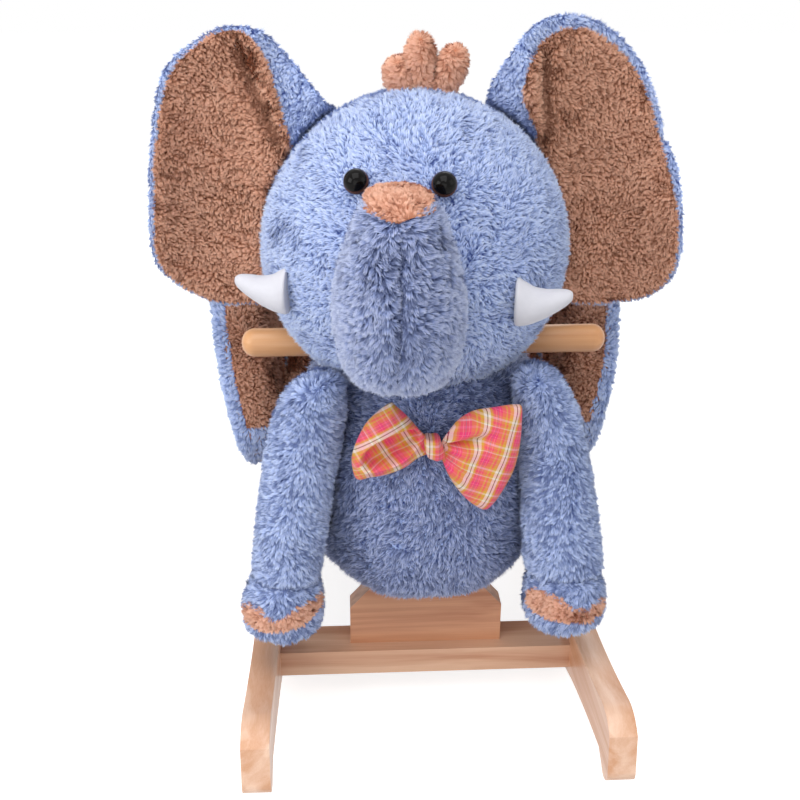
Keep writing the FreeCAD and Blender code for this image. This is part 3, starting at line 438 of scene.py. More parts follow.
def scatter(grid, normals, count, dice, keep):
    """Seeded points on a grid, as many to each cell as its share of the area: each point and normal is
    the blend of its cell's corners. Those that keep turns down are dropped."""
    closed = np.concatenate([grid, grid[:, :1]], axis=1)
    facing = np.concatenate([normals, normals[:, :1]], axis=1)
    first = closed[1:, 1:] - closed[:-1, :-1]
    second = closed[1:, :-1] - closed[:-1, 1:]
    area = np.linalg.norm(np.cross(first, second), axis=2).ravel()
    cell = dice.choice(area.size, count, p=area / area.sum())
    row, col = np.divmod(cell, closed.shape[1] - 1)
    u, v = dice.random((2, count, 1))

    def blended(values):
        """The four corners' values, weighed by how near the point lies to each: u down and v across."""
        upper = values[row, col] * (1 - v) + values[row, col + 1] * v
        lower = values[row + 1, col] * (1 - v) + values[row + 1, col + 1] * v
        return upper * (1 - u) + lower * u

    roots, up = blended(closed), blended(facing)
    up = up / np.maximum(np.linalg.norm(up, axis=1, keepdims=True), 1e-9)
    held = keep(roots, up) if keep else np.ones(count, bool)
    return roots[held], up[held]


def hashed(cells, salt):
    """A fixed random share for each whole-numbered cell: the fraction left of a large multiple of the
    sine of its mixed coordinates."""
    mixed_up = cells @ np.array([127.1, 311.7, 74.7]) + salt * 57.3
    return np.abs(np.sin(mixed_up) * 43758.5453) % 1.0


def pile(name, grids, material, count, length, width, seed, lean=0.95, comb=(0.0, 0.0, -1.0), tuft=2.2,
         loose=0.9, keep=None, tone=0.0, shade=None):
    """Pile fabric's strands, each a narrow blade that tapers to its tip and leans into its lock.
    Tip = root + 0.6 * (lock's middle - root) + reach * (normal * cos(tilt) + way * sin(tilt)), where the
    way is the comb direction, swept towards the side seam, laid in the surface and turned by a drifting
    and a random angle of its lock. A strand is lit mostly as the surface under it is: its normal is 0.7
    of the surface's and 0.3 of its own. Its map holds its tone across and the way from root to tip up."""
    dice = np.random.default_rng(seed)
    whole = sum(np.prod(g.shape[:2]) for g in grids)
    spots = [scatter(g, outward(g), int(count * np.prod(g.shape[:2]) / whole), dice, keep) for g in grids]
    roots, up = np.vstack([s[0] for s in spots]), np.vstack([s[1] for s in spots])
    n = len(roots)
    wobble = np.stack([drift(roots, 0.013, seed + k) for k in range(3)], axis=1) * tuft * 0.5 * mm
    cells = np.floor((roots + wobble) / (tuft * mm))
    lock = np.unique(hashed(cells, 1.0), return_inverse=True)[1]
    held = np.bincount(lock)
    middle = np.stack([np.bincount(lock, roots[:, k]) / held for k in range(3)], axis=1)[lock]
    spin = ((hashed(cells, 2.0) - 0.5) * 1.2 + drift(middle, 0.022, seed + 4) * 0.7
            + drift(middle, 0.07, seed + 5) * 0.8) * loose + dice.normal(0, 0.14, n)
    laid = comb(roots, up) if callable(comb) else np.broadcast_to(np.asarray(comb, float), roots.shape)
    to_side_seam = np.array([0.0, 1.1, 0.0])
    laid = laid + np.clip(-5 * up[:, 1:2], -1, 1) * to_side_seam
    laid = laid - (laid * up).sum(axis=1, keepdims=True) * up
    laid = laid + 1e-4 * np.roll(up, 1, axis=1)
    laid = laid / np.linalg.norm(laid, axis=1, keepdims=True)
    way = laid * np.cos(spin)[:, None] + np.cross(up, laid) * np.sin(spin)[:, None]
    tilt = np.clip(lean * (0.75 + 0.5 * hashed(cells, 3.0)) + dice.normal(0, 0.10, n), 0.1, 1.35)
    reach = length * mm * dice.uniform(0.75, 1.15, n) * (0.75 + 0.5 * hashed(cells, 4.0))
    # shade gives each root its painted light and shade, added to the strand's tone below, and a share of its
    # length.
    light, cut = shade(roots) if shade else (0.0, 1.0)
    reach = reach * cut
    rise, run = np.cos(tilt)[:, None], np.sin(tilt)[:, None]
    into_lock, from_fabric = 0.6, 0.7
    tip = roots + (middle - roots) * into_lock + (up * rise + way * run) * reach[:, None]
    blade = np.cross(way, up) * (width * mm * dice.uniform(0.7, 1.3, n) / 2)[:, None]
    sunk = roots - up * (0.3 * mm)
    points = np.stack([sunk - blade, sunk + blade, tip], axis=1)
    facing = up * (from_fabric + 0.3 * run) - way * rise * 0.3
    facing = facing / np.linalg.norm(facing, axis=1, keepdims=True)
    shift = tone + light + 0.14 + 0.76 * hashed(cells, 5.0) ** 0.7 + dice.normal(0, 0.09, n)
    shift = np.clip(shift + 0.08 * drift(roots, 0.045, seed + 9), 0.03, 0.97)
    mesh = bpy.data.meshes.new(name)
    mesh.vertices.add(3 * n)
    mesh.vertices.foreach_set("co", points.ravel())
    mesh.loops.add(3 * n)
    mesh.loops.foreach_set("vertex_index", np.arange(3 * n))
    mesh.polygons.add(n)
    mesh.polygons.foreach_set("loop_start", np.arange(n) * 3)
    mesh.polygons.foreach_set("loop_total", np.full(n, 3))
    layer = mesh.uv_layers.new(name="OFBake")
    across = shift[:, None] + np.array([-0.004, 0.004, 0.0])
    upward = np.broadcast_to(np.array([0.02, 0.02, 0.98]), across.shape)
    layer.uv.foreach_set("vector", np.stack([across, upward], axis=2).ravel())
    piece = link_mesh(name, mesh, material)
    mesh.normals_split_custom_set_from_vertices(np.repeat(facing, 3, axis=0))
    return piece


# Strands are coloured from root to tip: the dark root is partly painted shade deep in the pile and the pale
# tip partly painted highlight, over the fabric's own colours.
strand_shade, given, put = group_with(
    "strand_shade", [("Map", "Vector"), ("Root", "Color"), ("Middle", "Color"), ("Tip", "Color")],
    [("Color", "Color")])
parts_of_map = node(strand_shade, "ShaderNodeSeparateXYZ", {0: given["Map"]})
tone_read, along_read = parts_of_map.outputs[0], parts_of_map.outputs[1]
low_part = node(strand_shade, "ShaderNodeMapRange", {"Value": along_read, "From Min": 0.0, "From Max": 0.5})
high_part = node(strand_shade, "ShaderNodeMapRange", {"Value": along_read, "From Min": 0.42, "From Max": 1.0})
lower = mixed(strand_shade, low_part.outputs[0], given["Root"], given["Middle"])
tip_share = sums(strand_shade, "MULTIPLY", high_part.outputs[0],
                 sums(strand_shade, "MULTIPLY_ADD", tone_read, 1.2, 0.1))
upper = mixed(strand_shade, sums(strand_shade, "MINIMUM", tip_share, 1.0), lower, given["Tip"])
# Painted shade: strands of low tone, which carries random variation and each piece's painted light and shade,
# are drawn towards the dark root colour.
dim_share = node(strand_shade, "ShaderNodeMapRange", {
    "Value": tone_read, "From Min": 0.0, "From Max": 0.55, "To Min": 0.75, "To Max": 0.0})
strand_shade.links.new(mixed(strand_shade, dim_share.outputs[0], upper, given["Root"]), put["Color"])


def plush(name, root, middle, tip):
    """Pile fabric as two materials: its strands, coloured from a dark root to a pale tip, partly the
    fabric's own colour and partly painted shade deep in the pile and painted highlight at the tips,
    and the backing under them."""
    strand, tree, sockets = finish_of(name + "_pile", sheen=0.5, sheen_tint=tip, gloss=0.25)
    coloured = node(tree, "ShaderNodeGroup", node_tree=strand_shade)
    tree.links.new(node(tree, "ShaderNodeUVMap", uv_map="OFBake").outputs[0], coloured.inputs["Map"])
    for key, colour in (("Root", root), ("Middle", middle), ("Tip", tip)):
        coloured.inputs[key].default_value = colour
    tree.links.new(coloured.outputs[0], sockets["Base Color"])
    sockets["Roughness"].default_value = 0.75
    backing, tree, sockets = finish_of(name + "_backing", sheen=0.3, sheen_tint=tip, gloss=0.2)
    place = node(tree, "ShaderNodeTexCoord").outputs["Object"]
    tufts = node(tree, "ShaderNodeTexNoise", {"Vector": place, "Scale": 420.0, "Detail": 3.0})
    patches = node(tree, "ShaderNodeMapRange", {
        "Value": tufts.outputs[0], "From Min": 0.38, "From Max": 0.66})
    tree.links.new(mixed(tree, patches.outputs[0], root, middle), sockets["Base Color"])
    sockets["Roughness"].default_value = 0.9
    relief = node(tree, "ShaderNodeBump", {"Height": tufts.outputs[0], "Strength": 0.9, "Distance": 0.002})
    tree.links.new(relief.outputs[0], sockets["Normal"])
    return strand, backing


# Each plush's dark root colour is partly painted shade deep in the pile, and its pale tip colour partly
# painted highlight.
blue_strand, blue_backing = plush("blue", paint(50, 68, 130), paint(174, 195, 244), paint(226, 236, 255))
grey_strand, grey_backing = plush("grey", paint(34, 44, 84), paint(142, 159, 210), paint(214, 222, 246))
brown_strand, brown_backing = plush("brown", paint(82, 38, 22), paint(206, 144, 114), paint(244, 198, 172))
tan_strand, tan_backing = plush("tan", paint(180, 110, 80), paint(230, 172, 144), paint(246, 200, 176))


def soft_piece(piece, body, slot_name, fill, *nodes):
    """A stuffed piece that rides on a body and stands for its CAD nodes, which it hides. slot_name is not
    used.
    """
    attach(piece, body)
    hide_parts(*nodes)


def pile_piece(piece, body):
    """Strands ride on the body of the fabric that they grow from."""
    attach(piece, body)


torso_bottom, torso_top = 98.0, 306.0
torso_table = [
    # share of the height, half width, front, rear
    (-0.008, 20.0, -40.0, 30.0), (0.0, 52.0, -127.0, 112.0), (0.035, 74.0, -161.0, 134.0),
    (0.11, 92.0, -180.0, 143.0), (0.23, 100.5, -190.0, 145.0), (0.38, 103.5, -193.5, 145.5),
    (0.52, 102.5, -193.5, 145.5), (0.70, 93.0, -189.5, 135.0), (0.86, 78.0, -174.0, 119.0),
    (1.0, 56.0, -146.0, 95.0), (1.005, 20.0, -120.0, 40.0),
]
torso_rows = [
    (0.0, (front + rear) / 2, torso_bottom + (torso_top - torso_bottom) * share,
     half, (rear - front) / 2, 0.83)
    for share, half, front, rear in torso_table
]
torso = rings(torso_rows, (1, 0, 0), (0, 1, 0), 100, 140)
shelf_low, shelf_high, chest_rear = 189.0 * mm, 195.0 * mm, -62.5 * mm
shelf_share = np.clip((torso[..., 2] - shelf_low) / (shelf_high - shelf_low), 0, 1)
behind_all = 0.150
rear_limit = behind_all + (chest_rear - behind_all) * shelf_share
torso[..., 1] = np.minimum(torso[..., 1], rear_limit)
leg_room_rear, leg_room_x, leg_room_top, leg_room_step = -144.0 * mm, 58.0 * mm, 295.0 * mm, 7.0 * mm
leg_room_lean, past_torso = math.tan(math.radians(5.5)), 0.06
leg_room = leg_room_x + np.clip(leg_room_top - torso[..., 2], 0, 1) * leg_room_lean
behind_leg = np.clip((torso[..., 1] - leg_room_rear) / leg_room_step, 0, 1)
widest = leg_room + behind_leg * past_torso
torso[..., 0] = np.sign(torso[..., 0]) * np.minimum(np.abs(torso[..., 0]), widest)
torso = torso + outward(torso) * (drift(torso, 0.09, 3) * 1.0 * mm)[..., None]
torso_cover = skin("torso_cover", [torso], blue_backing)
soft_piece(torso_cover, "frame", "blue_plush", 0.9, "body", "chest")


def torso_seen(roots, up):
    """Leaves out what the seat board, the seat's sides and the head cover."""
    shelf = (roots[:, 2] > 0.186) & (up[:, 2] > 0.6) & (roots[:, 1] > -0.075)
    under_head = roots[:, 2] > 0.292
    return ~shelf & ~under_head


def torso_comb(roots, up):
    """Down the front, and out to the sides of the belly."""
    return np.stack([roots[:, 0] * 3.0, np.zeros(len(roots)), np.full(len(roots), -0.5)], axis=1)


def torso_painted_shade(roots):
    """Darker all over, with painted shade between the legs and under the chin."""
    chin = np.clip((roots[:, 2] - 0.21) / 0.08, 0, 1) * (roots[:, 1] < -0.12)
    side = np.clip((np.abs(roots[:, 0]) - 0.045) / 0.03, 0, 1) * (roots[:, 1] < -0.13)
    return -0.14 - 0.14 * chin - 0.18 * side, np.ones(len(roots))


torso_pile = pile("torso_pile", [torso], grey_strand, 200000, 5.6, 1.08, seed=11, comb=torso_comb,
                  loose=1.0, keep=torso_seen, shade=torso_painted_shade)
pile_piece(torso_pile, "frame")

# Head. A firmly stuffed ball of blue pile fabric, closed round the neck post and sewn to the top of
# the chest, its face turned a little to the rider's right.

head_middle = np.array([-9.0, -100.0, 368.0])
head_radius, head_depth = 108.8, 107.8
head_height = np.linspace(-1.0, 1.0, 21)
head_rows = [
    (head_middle[0], head_middle[1], head_middle[2] + head_radius * math.sin(h * quarter),
     head_radius * math.cos(h * quarter), head_depth * math.cos(h * quarter), 1.0)
    for h in head_height
]
head = rings(head_rows, (1, 0, 0), (0, 1, 0), 84, 130)
head = head + outward(head) * (drift(head, 0.11, 8) * 1.2 * mm)[..., None]
head_cover = skin("head_cover", [head], blue_backing)
soft_piece(head_cover, "frame", "blue_plush", 0.95, "head")
solid_radius, solid_depth = 111.0, 110.0
eyes_x, eyes_apart, eye_z = -24.5, 55.0, 432.0
eye_middles = {}
for eye_name, eye_side in (("left", 1), ("right", -1)):
    eye_x = eyes_x + eye_side * eyes_apart / 2
    off_x, off_z = (eye_x - head_middle[0]) / solid_radius, (eye_z - head_middle[2]) / solid_radius
    eye_y = head_middle[1] - solid_depth * math.sqrt(1 - off_x ** 2 - off_z ** 2)
    eye_middles[eye_name] = np.array([eye_x, eye_y, eye_z]) * mm
eye_clear, short_round_eye = 0.0085, 0.016


def near(roots, middle, reach):
    """True where a root lies within reach metres of the middle."""
    return np.linalg.norm(roots - np.asarray(middle), axis=1) < reach


def head_seen(roots, up):
    """Leaves out the eyes and what the chest and the trunk cover."""
    under = (roots[:, 2] < 0.275) & (roots[:, 1] > -0.15)
    behind_trunk = (np.abs(roots[:, 0] + 0.027) < 0.026) & (np.abs(roots[:, 2] - 0.365) < 0.05)
    hidden = under | (behind_trunk & (roots[:, 1] < -0.17))
    for middle in eye_middles.values():
        hidden = hidden | near(roots, middle, eye_clear)
    return ~hidden


def head_comb(roots, up):
    """Away from the middle of the face, and down."""
    return np.stack([(roots[:, 0] + 0.02) * 6.0, np.zeros(len(roots)), (roots[:, 2] - 0.43) * 3.0], axis=1)


def head_painted_shade(roots):
    """Shorter strands round the eyes, and painted shade on the rider's left, away from the stronger side
    lamp.
    """
    cut = np.ones(len(roots))
    for middle in eye_middles.values():
        cut = np.where(near(roots, middle, short_round_eye), 0.6, cut)
    return 0.18 - 0.22 * np.clip((roots[:, 0] - 0.03) / 0.06, 0, 1), cut


head_pile = pile("head_pile", [head], blue_strand, 180000, 4.8, 0.95, seed=21, lean=1.05,
                 comb=head_comb, loose=1.2, keep=head_seen, shade=head_painted_shade)
pile_piece(head_pile, "frame")

# Trunk. A thick stuffed horn raised in front of the face, with a seam down its middle and a tan
# patch over its tip.

trunk_table = [
    # z, centre x, half width, front, back
    (303.0, -24.0, 8.0, -206.0, -190.0), (305.0, -24.0, 22.0, -216.0, -172.0),
    (312.0, -25.0, 31.5, -238.0, -152.0), (330.0, -26.0, 37.0, -258.0, -151.0),
    (360.0, -26.5, 39.5, -269.0, -162.0), (384.0, -27.0, 36.5, -269.5, -175.0),
    (407.0, -27.0, 29.5, -268.5, -190.0), (424.0, -27.5, 23.5, -265.0, -201.0),
    (434.0, -28.0, 17.0, -256.0, -208.0), (437.0, -28.0, 8.0, -245.0, -220.0),
    (437.6, -28.0, 1.0, -233.0, -231.0),
]
trunk_rows = [(x, (front + back) / 2, z, half, (back - front) / 2, 0.92)
              for z, x, half, front, back in trunk_table]
trunk = rings(trunk_rows, (1, 0, 0), (0, 1, 0), 100, 120)
trunk_face = -0.2


def trunk_folds(points):
    """How far the trunk's skin is drawn in, in millimetres: 4.2 along its middle seam down the front and
    0.8 along a fold beside it, each times a bell exp(-(off / width) ^ 2) across and along it."""
    x, y, z = points[..., 0], points[..., 1], points[..., 2]
    level_share = np.exp(-((z - 0.368) / 0.042) ** 2)
    seam = np.exp(-((x + 0.029) / 0.0035) ** 2) * level_share * (y < trunk_face)
    off_fold = x + 0.040 + (z - 0.36) * 0.25
    side_fold = np.exp(-(off_fold / 0.005) ** 2) * np.exp(-((z - 0.36) / 0.02) ** 2) * (y < trunk_face)
    return 4.2 * seam + 0.8 * side_fold


trunk = trunk - outward(trunk) * (trunk_folds(trunk) * mm)[..., None]
trunk_cover = skin("trunk_cover", [trunk], grey_backing)
soft_piece(trunk_cover, "frame", "grey_plush", 0.9, "trunk")


def patch_edge(roots):
    """Height of the tan patch's lower edge round the tip: a shallow V in front with a scalloped line."""
    wave = np.cos((roots[:, 0] + 0.028) / 0.0042) * 0.0009
    return 0.4265 + wave + 0.42 * np.abs(roots[:, 0] + 0.029)


def trunk_seen(roots, up):
    """Leaves out the tip's patch and what is sewn to the face."""
    return (roots[:, 2] < patch_edge(roots)) & ((up[:, 1] < 0.55) | (roots[:, 2] > 0.41))


def trunk_painted_light(roots):
    """Painted shade down the front, deepest along the seam, where the strands are also shortest, and painted
    light on the trunk's sides and its lower end.
    """
    middle = np.exp(-((roots[:, 0] + 0.027) / 0.026) ** 2) * (roots[:, 1] < trunk_face)
    seam = np.exp(-((roots[:, 0] + 0.0285) / 0.0030) ** 2) * (roots[:, 1] < trunk_face)
    seam = seam * np.exp(-((roots[:, 2] - 0.372) / 0.045) ** 4)
    low = np.clip((0.345 - roots[:, 2]) / 0.03, 0, 1)
    return -0.16 * middle * (1 - low) - 0.45 * seam + 0.24 * (1 - middle) + 0.22 * low, 1 - 0.7 * seam


trunk_pile = pile("trunk_pile", [trunk], grey_strand, 109000, 5.4, 0.98, seed=31, lean=0.9, loose=1.3,
                  keep=trunk_seen, shade=trunk_painted_light)
pile_piece(trunk_pile, "frame")

patch_rows = [row for row in trunk_rows if row[2] > 400]
patch_over = 1.4
patch = rings([(x, y, z + 1.2, half + patch_over, deep + patch_over, p)
               for x, y, z, half, deep, p in patch_rows], (1, 0, 0), (0, 1, 0), 80, 130)
cover_from = 0.4295
patch_top = patch[np.where(patch[:, :, 2].mean(axis=1) > cover_from)[0]]
inner_ring = patch_top[:1] + np.array([0, 0, 0.002])
middle_of = patch_top[0].mean(axis=0)
inner_ring = middle_of + (inner_ring - middle_of) * 0.80
patch_cover = skin("trunk_patch_cover", [np.concatenate([inner_ring, patch_top])], tan_backing)
soft_piece(patch_cover, "frame", "tan_plush", 0.5, "trunk_patch")


def patch_seen(roots, up):
    """Only the tip above the scalloped edge."""
    return roots[:, 2] > patch_edge(roots)


patch_pile = pile("trunk_patch_pile", [patch], tan_strand, 80000, 3.2, 0.8, seed=35,
                  comb=(0.0, 0.8, -0.6), loose=1.6, tuft=1.9, keep=patch_seen, tone=-0.2)
pile_piece(patch_pile, "frame")

# Tusks. White brushed cloth over firm stuffing, broad where they are sewn to the cheeks and
# curling up to a blunt tip.

white_cloth, cloth_tree, cloth_sockets = finish_of("white_cloth", sheen=0.3, gloss=0.3)
cloth_place = node(cloth_tree, "ShaderNodeTexCoord").outputs["Object"]
cloth_mottle = node(cloth_tree, "ShaderNodeTexNoise", {"Vector": cloth_place, "Scale": 90.0, "Detail": 3.0})
cloth_nap = node(cloth_tree, "ShaderNodeTexNoise", {"Vector": cloth_place, "Scale": 1500.0, "Detail": 2.0})
cloth_tree.links.new(mixed(cloth_tree, cloth_mottle.outputs[0], paint(204, 204, 212), paint(220, 219, 226)),
                     cloth_sockets["Base Color"])
cloth_tree.links.new(sums(cloth_tree, "MULTIPLY_ADD", cloth_nap.outputs[0], 0.2, 0.6),
                     cloth_sockets["Roughness"])
cloth_relief = node(cloth_tree, "ShaderNodeBump", {
    "Height": cloth_nap.outputs[0], "Strength": 0.25, "Distance": 0.4 * mm})
cloth_tree.links.new(cloth_relief.outputs[0], cloth_sockets["Normal"])
face_turn = math.radians(-11.0)
tusk_rows = [
    # along, rise, half depth, half height
    (4.6, 0.0, 3.0, 3.0), (4.8, 0.0, 12.0, 14.0), (6.4, -0.2, 14.4, 16.6), (11.0, -1.6, 14.0, 15.0),
    (17.0, -2.4, 12.6, 12.4), (25.0, -1.0, 10.8, 9.8), (33.0, 1.8, 8.6, 7.6), (39.0, 4.0, 6.0, 5.2),
    (42.0, 5.0, 3.2, 2.8), (42.6, 5.2, 1.0, 0.8),
]
tusk_root_x, tusk_ahead, tusk_low = 72.0, -74.0, -14.0
for tusk_name, tusk_side in (("left", 1), ("right", -1)):
    table = [(tusk_side * (tusk_root_x + along), tusk_ahead, tusk_low + rise, deep, high, 1.0)
             for along, rise, deep, high in tusk_rows]
    tusk = rings(table, (0, 1, 0), (0, 0, 1), 60, 64)
    spun = tusk.copy()
    spun[..., 0] = tusk[..., 0] * math.cos(face_turn) - tusk[..., 1] * math.sin(face_turn)
    spun[..., 1] = tusk[..., 0] * math.sin(face_turn) + tusk[..., 1] * math.cos(face_turn)
    tusk_cover = skin("tusk_" + tusk_name + "_cover", [spun + head_middle * mm], white_cloth)
    soft_piece(tusk_cover, "frame", "white_cloth", 1.0, "tusk_" + tusk_name)

# Eyes. Glossy moulded domes pushed through the face and locked by a washer behind: black in the
# middle, with a dark brown ring just inside the rim.

eye_radius, eye_back, eye_out = 8.3 * mm, 0.55, 1.4 * mm
for eye_name, middle in eye_middles.items():
    off_head = (middle - head_middle * mm) / np.linalg.norm(middle - head_middle * mm)
    gaze = off_head * 0.4 + [-0.04, -0.55, 0.22]
    gaze = gaze / np.linalg.norm(gaze)
    across = np.cross(gaze, [0.0, 0.0, 1.0])
    across = across / np.linalg.norm(across)
    over = np.cross(across, gaze)
    polar = np.linspace(0, np.pi, 40)[:, None]
    angle = np.linspace(0, 2 * np.pi, 72, endpoint=False)[None, :]
    bulge = np.where(np.cos(polar) > 0, 1.0, eye_back)
    dome = (np.cos(polar) * bulge)[..., None] * gaze * np.ones_like(angle)[..., None]
    dome = dome + (np.sin(polar) * np.cos(angle))[..., None] * across
    dome = dome + (np.sin(polar) * np.sin(angle))[..., None] * over
    eye_shine, eye_tree, eye_sockets = finish_of("eye_gloss_" + eye_name, gloss=0.12)
    eye_place = node(eye_tree, "ShaderNodeTexCoord").outputs["Object"]
    off_middle = node(eye_tree, "ShaderNodeVectorMath", {0: eye_place, 1: middle.tolist()},
                      operation="SUBTRACT")
    facing_share = node(eye_tree, "ShaderNodeVectorMath", {0: off_middle.outputs[0], 1: gaze.tolist()},
                        operation="DOT_PRODUCT")
    height_share = sums(eye_tree, "MULTIPLY", facing_share.outputs["Value"], 1 / eye_radius)
    ring_out = node(eye_tree, "ShaderNodeMapRange", {
        "Value": height_share, "From Min": 0.12, "From Max": 0.24})
    ring_in = node(eye_tree, "ShaderNodeMapRange", {
        "Value": height_share, "From Min": 0.52, "From Max": 0.64, "To Min": 1.0, "To Max": 0.0})
    brown_share = sums(eye_tree, "MULTIPLY", ring_out.outputs[0], ring_in.outputs[0])
    eye_tree.links.new(mixed(eye_tree, brown_share, paint(12, 10, 10), paint(92, 56, 38)),
                       eye_sockets["Base Color"])
    eye_tree.links.new(sums(eye_tree, "MULTIPLY_ADD", brown_share, 0.1, 0.12), eye_sockets["Roughness"])
    eye = skin("eye_" + eye_name + "_dome", [middle + gaze * eye_out + dome * eye_radius], eye_shine)
    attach(eye, "frame")
    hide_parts("eye_" + eye_name)

# Tuft of hair. Three fingers of tan pile fabric, each a small stuffed tube, sewn together into the
# head's seam at the crown.

tuft_paths = [
    # root x, root z, tip x, tip z, half width
    (-13.0, 467.0, -24.5, 498.0, 10.5), (-6.0, 470.0, -6.5, 513.5, 10.4),
    (5.0, 466.0, 20.5, 506.0, 10.2),
]
tuft_y = -92.0
tuft_share = [(0.0, 0.9), (0.35, 1.0), (0.7, 1.08), (0.92, 0.78), (0.99, 0.42), (1.0, 0.12)]
tuft_fingers = []
for root_x, root_z, tip_x, tip_z, half in tuft_paths:
    lean_x, lean_z = tip_x - root_x, tip_z - root_z
    span = math.hypot(lean_x, lean_z)
    table = [(root_x + lean_x * s, tuft_y, root_z + lean_z * s, half * w - 1.5, half * w * 0.8 - 1.2, 1.0)
             for s, w in tuft_share]
    tuft_fingers.append(rings(table, (lean_z / span, 0, -lean_x / span), (0, 1, 0), 36, 48))
tuft_cover = skin("hair_tuft_cover", tuft_fingers, tan_backing)
soft_piece(tuft_cover, "frame", "tan_plush", 0.8, "hair_tuft")
tuft_pile = pile("hair_tuft_pile", tuft_fingers, tan_strand, 34000, 4.0, 0.85, seed=41,
                 comb=(0.0, 0.3, -1.0), tuft=2.6, loose=1.0)
pile_piece(tuft_pile, "frame")

# Ears. Broad flat flaps, blue behind and brown inside, lightly stuffed, cupped forwards and sewn to
# the head along a rolled root. The top inner corner of each folds over, with blue showing past it.


def closed_curve(points, count):
    """count points of a smooth closed curve through the given ones: each coordinate is a cubic in the
    point's number, as in eased, carried round the end."""
    points = np.asarray(points, float)
    per_gap = 40
    turned = np.vstack([points[-2:], points, points[:3]])
    dense = eased(turned, (len(turned) - 1) * per_gap + 1)[2 * per_gap:(2 + len(points)) * per_gap]
    step = np.linalg.norm(np.roll(dense, -1, axis=0) - dense, axis=1)
    walked = np.concatenate([[0], np.cumsum(step)])
    ring = np.vstack([dense, dense[:1]])
    even = np.linspace(0, walked[-1], count, endpoint=False)
    return np.stack([np.interp(even, walked, ring[:, k]) for k in range(2)], axis=1)


def pad(outline, middle, front, back, rows, cols=180):
    """A flat stuffed form as a grid of u, v and depth, in millimetres. Each ring is the outline drawn in
    to the middle point, middle + (outline - middle) * r, where r runs from 0 to 1 over the front and back
    to 0 over the back. The depth is front(u, v, r) or back(u, v, r)."""
    edge = closed_curve(outline, cols)
    share = np.sin(quarter * np.linspace(0.004, 1.0, rows))[:, None, None]
    place = np.asarray(middle) + (edge[None] - np.asarray(middle)) * share
    share = np.broadcast_to(share[..., 0], place.shape[:2])
    faces = [face(place[..., 0], place[..., 1], share) for face in (front, back)]
    front_grid = np.concatenate([place, faces[0][..., None]], axis=2)
    back_grid = np.concatenate([place, faces[1][..., None]], axis=2)[::-1]
    return np.concatenate([front_grid, back_grid[1:]])


ear_outlines = {
    "right": [(-112, 319), (-133, 317), (-150, 316), (-164, 319), (-178, 327), (-190, 336), (-198, 346),
              (-202, 358), (-203, 376), (-201, 400), (-199, 427), (-195, 450), (-192, 464), (-188, 480),
              (-183, 490), (-174, 499), (-162, 507), (-151, 513), (-139, 517), (-125, 517), (-113, 512),
              (-102, 500), (-92, 490), (-83, 480), (-73, 468), (-66, 457), (-78, 440), (-93, 420),
              (-100, 400), (-106, 370), (-106, 345)],
    "left": [(98, 321), (113, 315), (129, 313), (142, 313), (158, 315), (172, 319), (184, 327), (191, 339),
             (194, 356), (193, 376), (191, 395), (186, 418), (179, 436), (175, 437), (174, 448), (168, 466),
             (159, 486), (149, 499), (138, 509), (127, 517), (112, 523), (95, 525), (83, 524), (71, 518),
             (61, 507), (52, 492), (44, 474), (48, 458), (60, 440), (75, 420), (82, 400), (88, 370),
             (92, 345)],
}
ear_linings = {
    "right": [(-112, 321), (-133, 319), (-150, 318), (-164, 321), (-177, 329), (-188, 338), (-195, 348),
              (-198.5, 360), (-199, 376), (-197, 400), (-195, 425), (-191, 446), (-187.5, 462),
              (-183, 478), (-177, 489), (-169, 498), (-159, 505), (-149, 511), (-138, 514.5), (-128, 513),
              (-120, 505), (-112, 489), (-107, 470), (-103, 454), (-99, 440), (-99, 424), (-100, 400),
              (-106, 370), (-106, 345)],
    "left": [(98, 324), (113, 317), (129, 315), (142, 315), (157, 317), (171, 321), (181, 329),
             (187.5, 341), (190, 357), (189, 375), (186, 395), (180, 416), (170, 442), (163, 463),
             (154, 481), (144, 493), (132, 504), (118, 512), (102, 516), (90, 514), (79, 507), (71, 496),
             (67, 483), (68, 470), (74, 457), (79, 444), (82, 430), (82, 400), (88, 370), (92, 345)],
}
ear_middles = {"right": (-150.0, 420.0), "left": (136.0, 420.0)}
ear_fold_lines = {"right": ((-120, 503), (-101, 444)), "left": ((69, 490), (79, 440))}
ear_clear_radius, rounding_at_head = 115.5, 5.0


def ear_fold(name, x, z):
    """The ear's fold at each point: how much of its ridge, of the crease beside it and of the corner
    past it that falls back. Each is a bell across the fold's line, and fades past the line's ends."""
    side = 1 if name == "left" else -1
    (x0, z0), (x1, z1) = ear_fold_lines[name]
    run_x, run_z = x1 - x0, z1 - z0
    span = math.hypot(run_x, run_z)
    along = ((x - x0) * run_x + (z - z0) * run_z) / span ** 2
    off = ((x - x0) * run_z - (z - z0) * run_x) / span * side
    reach = np.exp(-(np.clip(np.abs(along - 0.5) - 0.45, 0, 9) / 0.25) ** 2)
    ridge = np.exp(-((off + 1.0) / 6.0) ** 2)
    crease = np.exp(-((off + 14.0 - 7.0 * along) / 6.0) ** 2)
    return ridge * reach, crease * reach, np.clip((off - 1.0) / 22.0, 0, 1) * reach


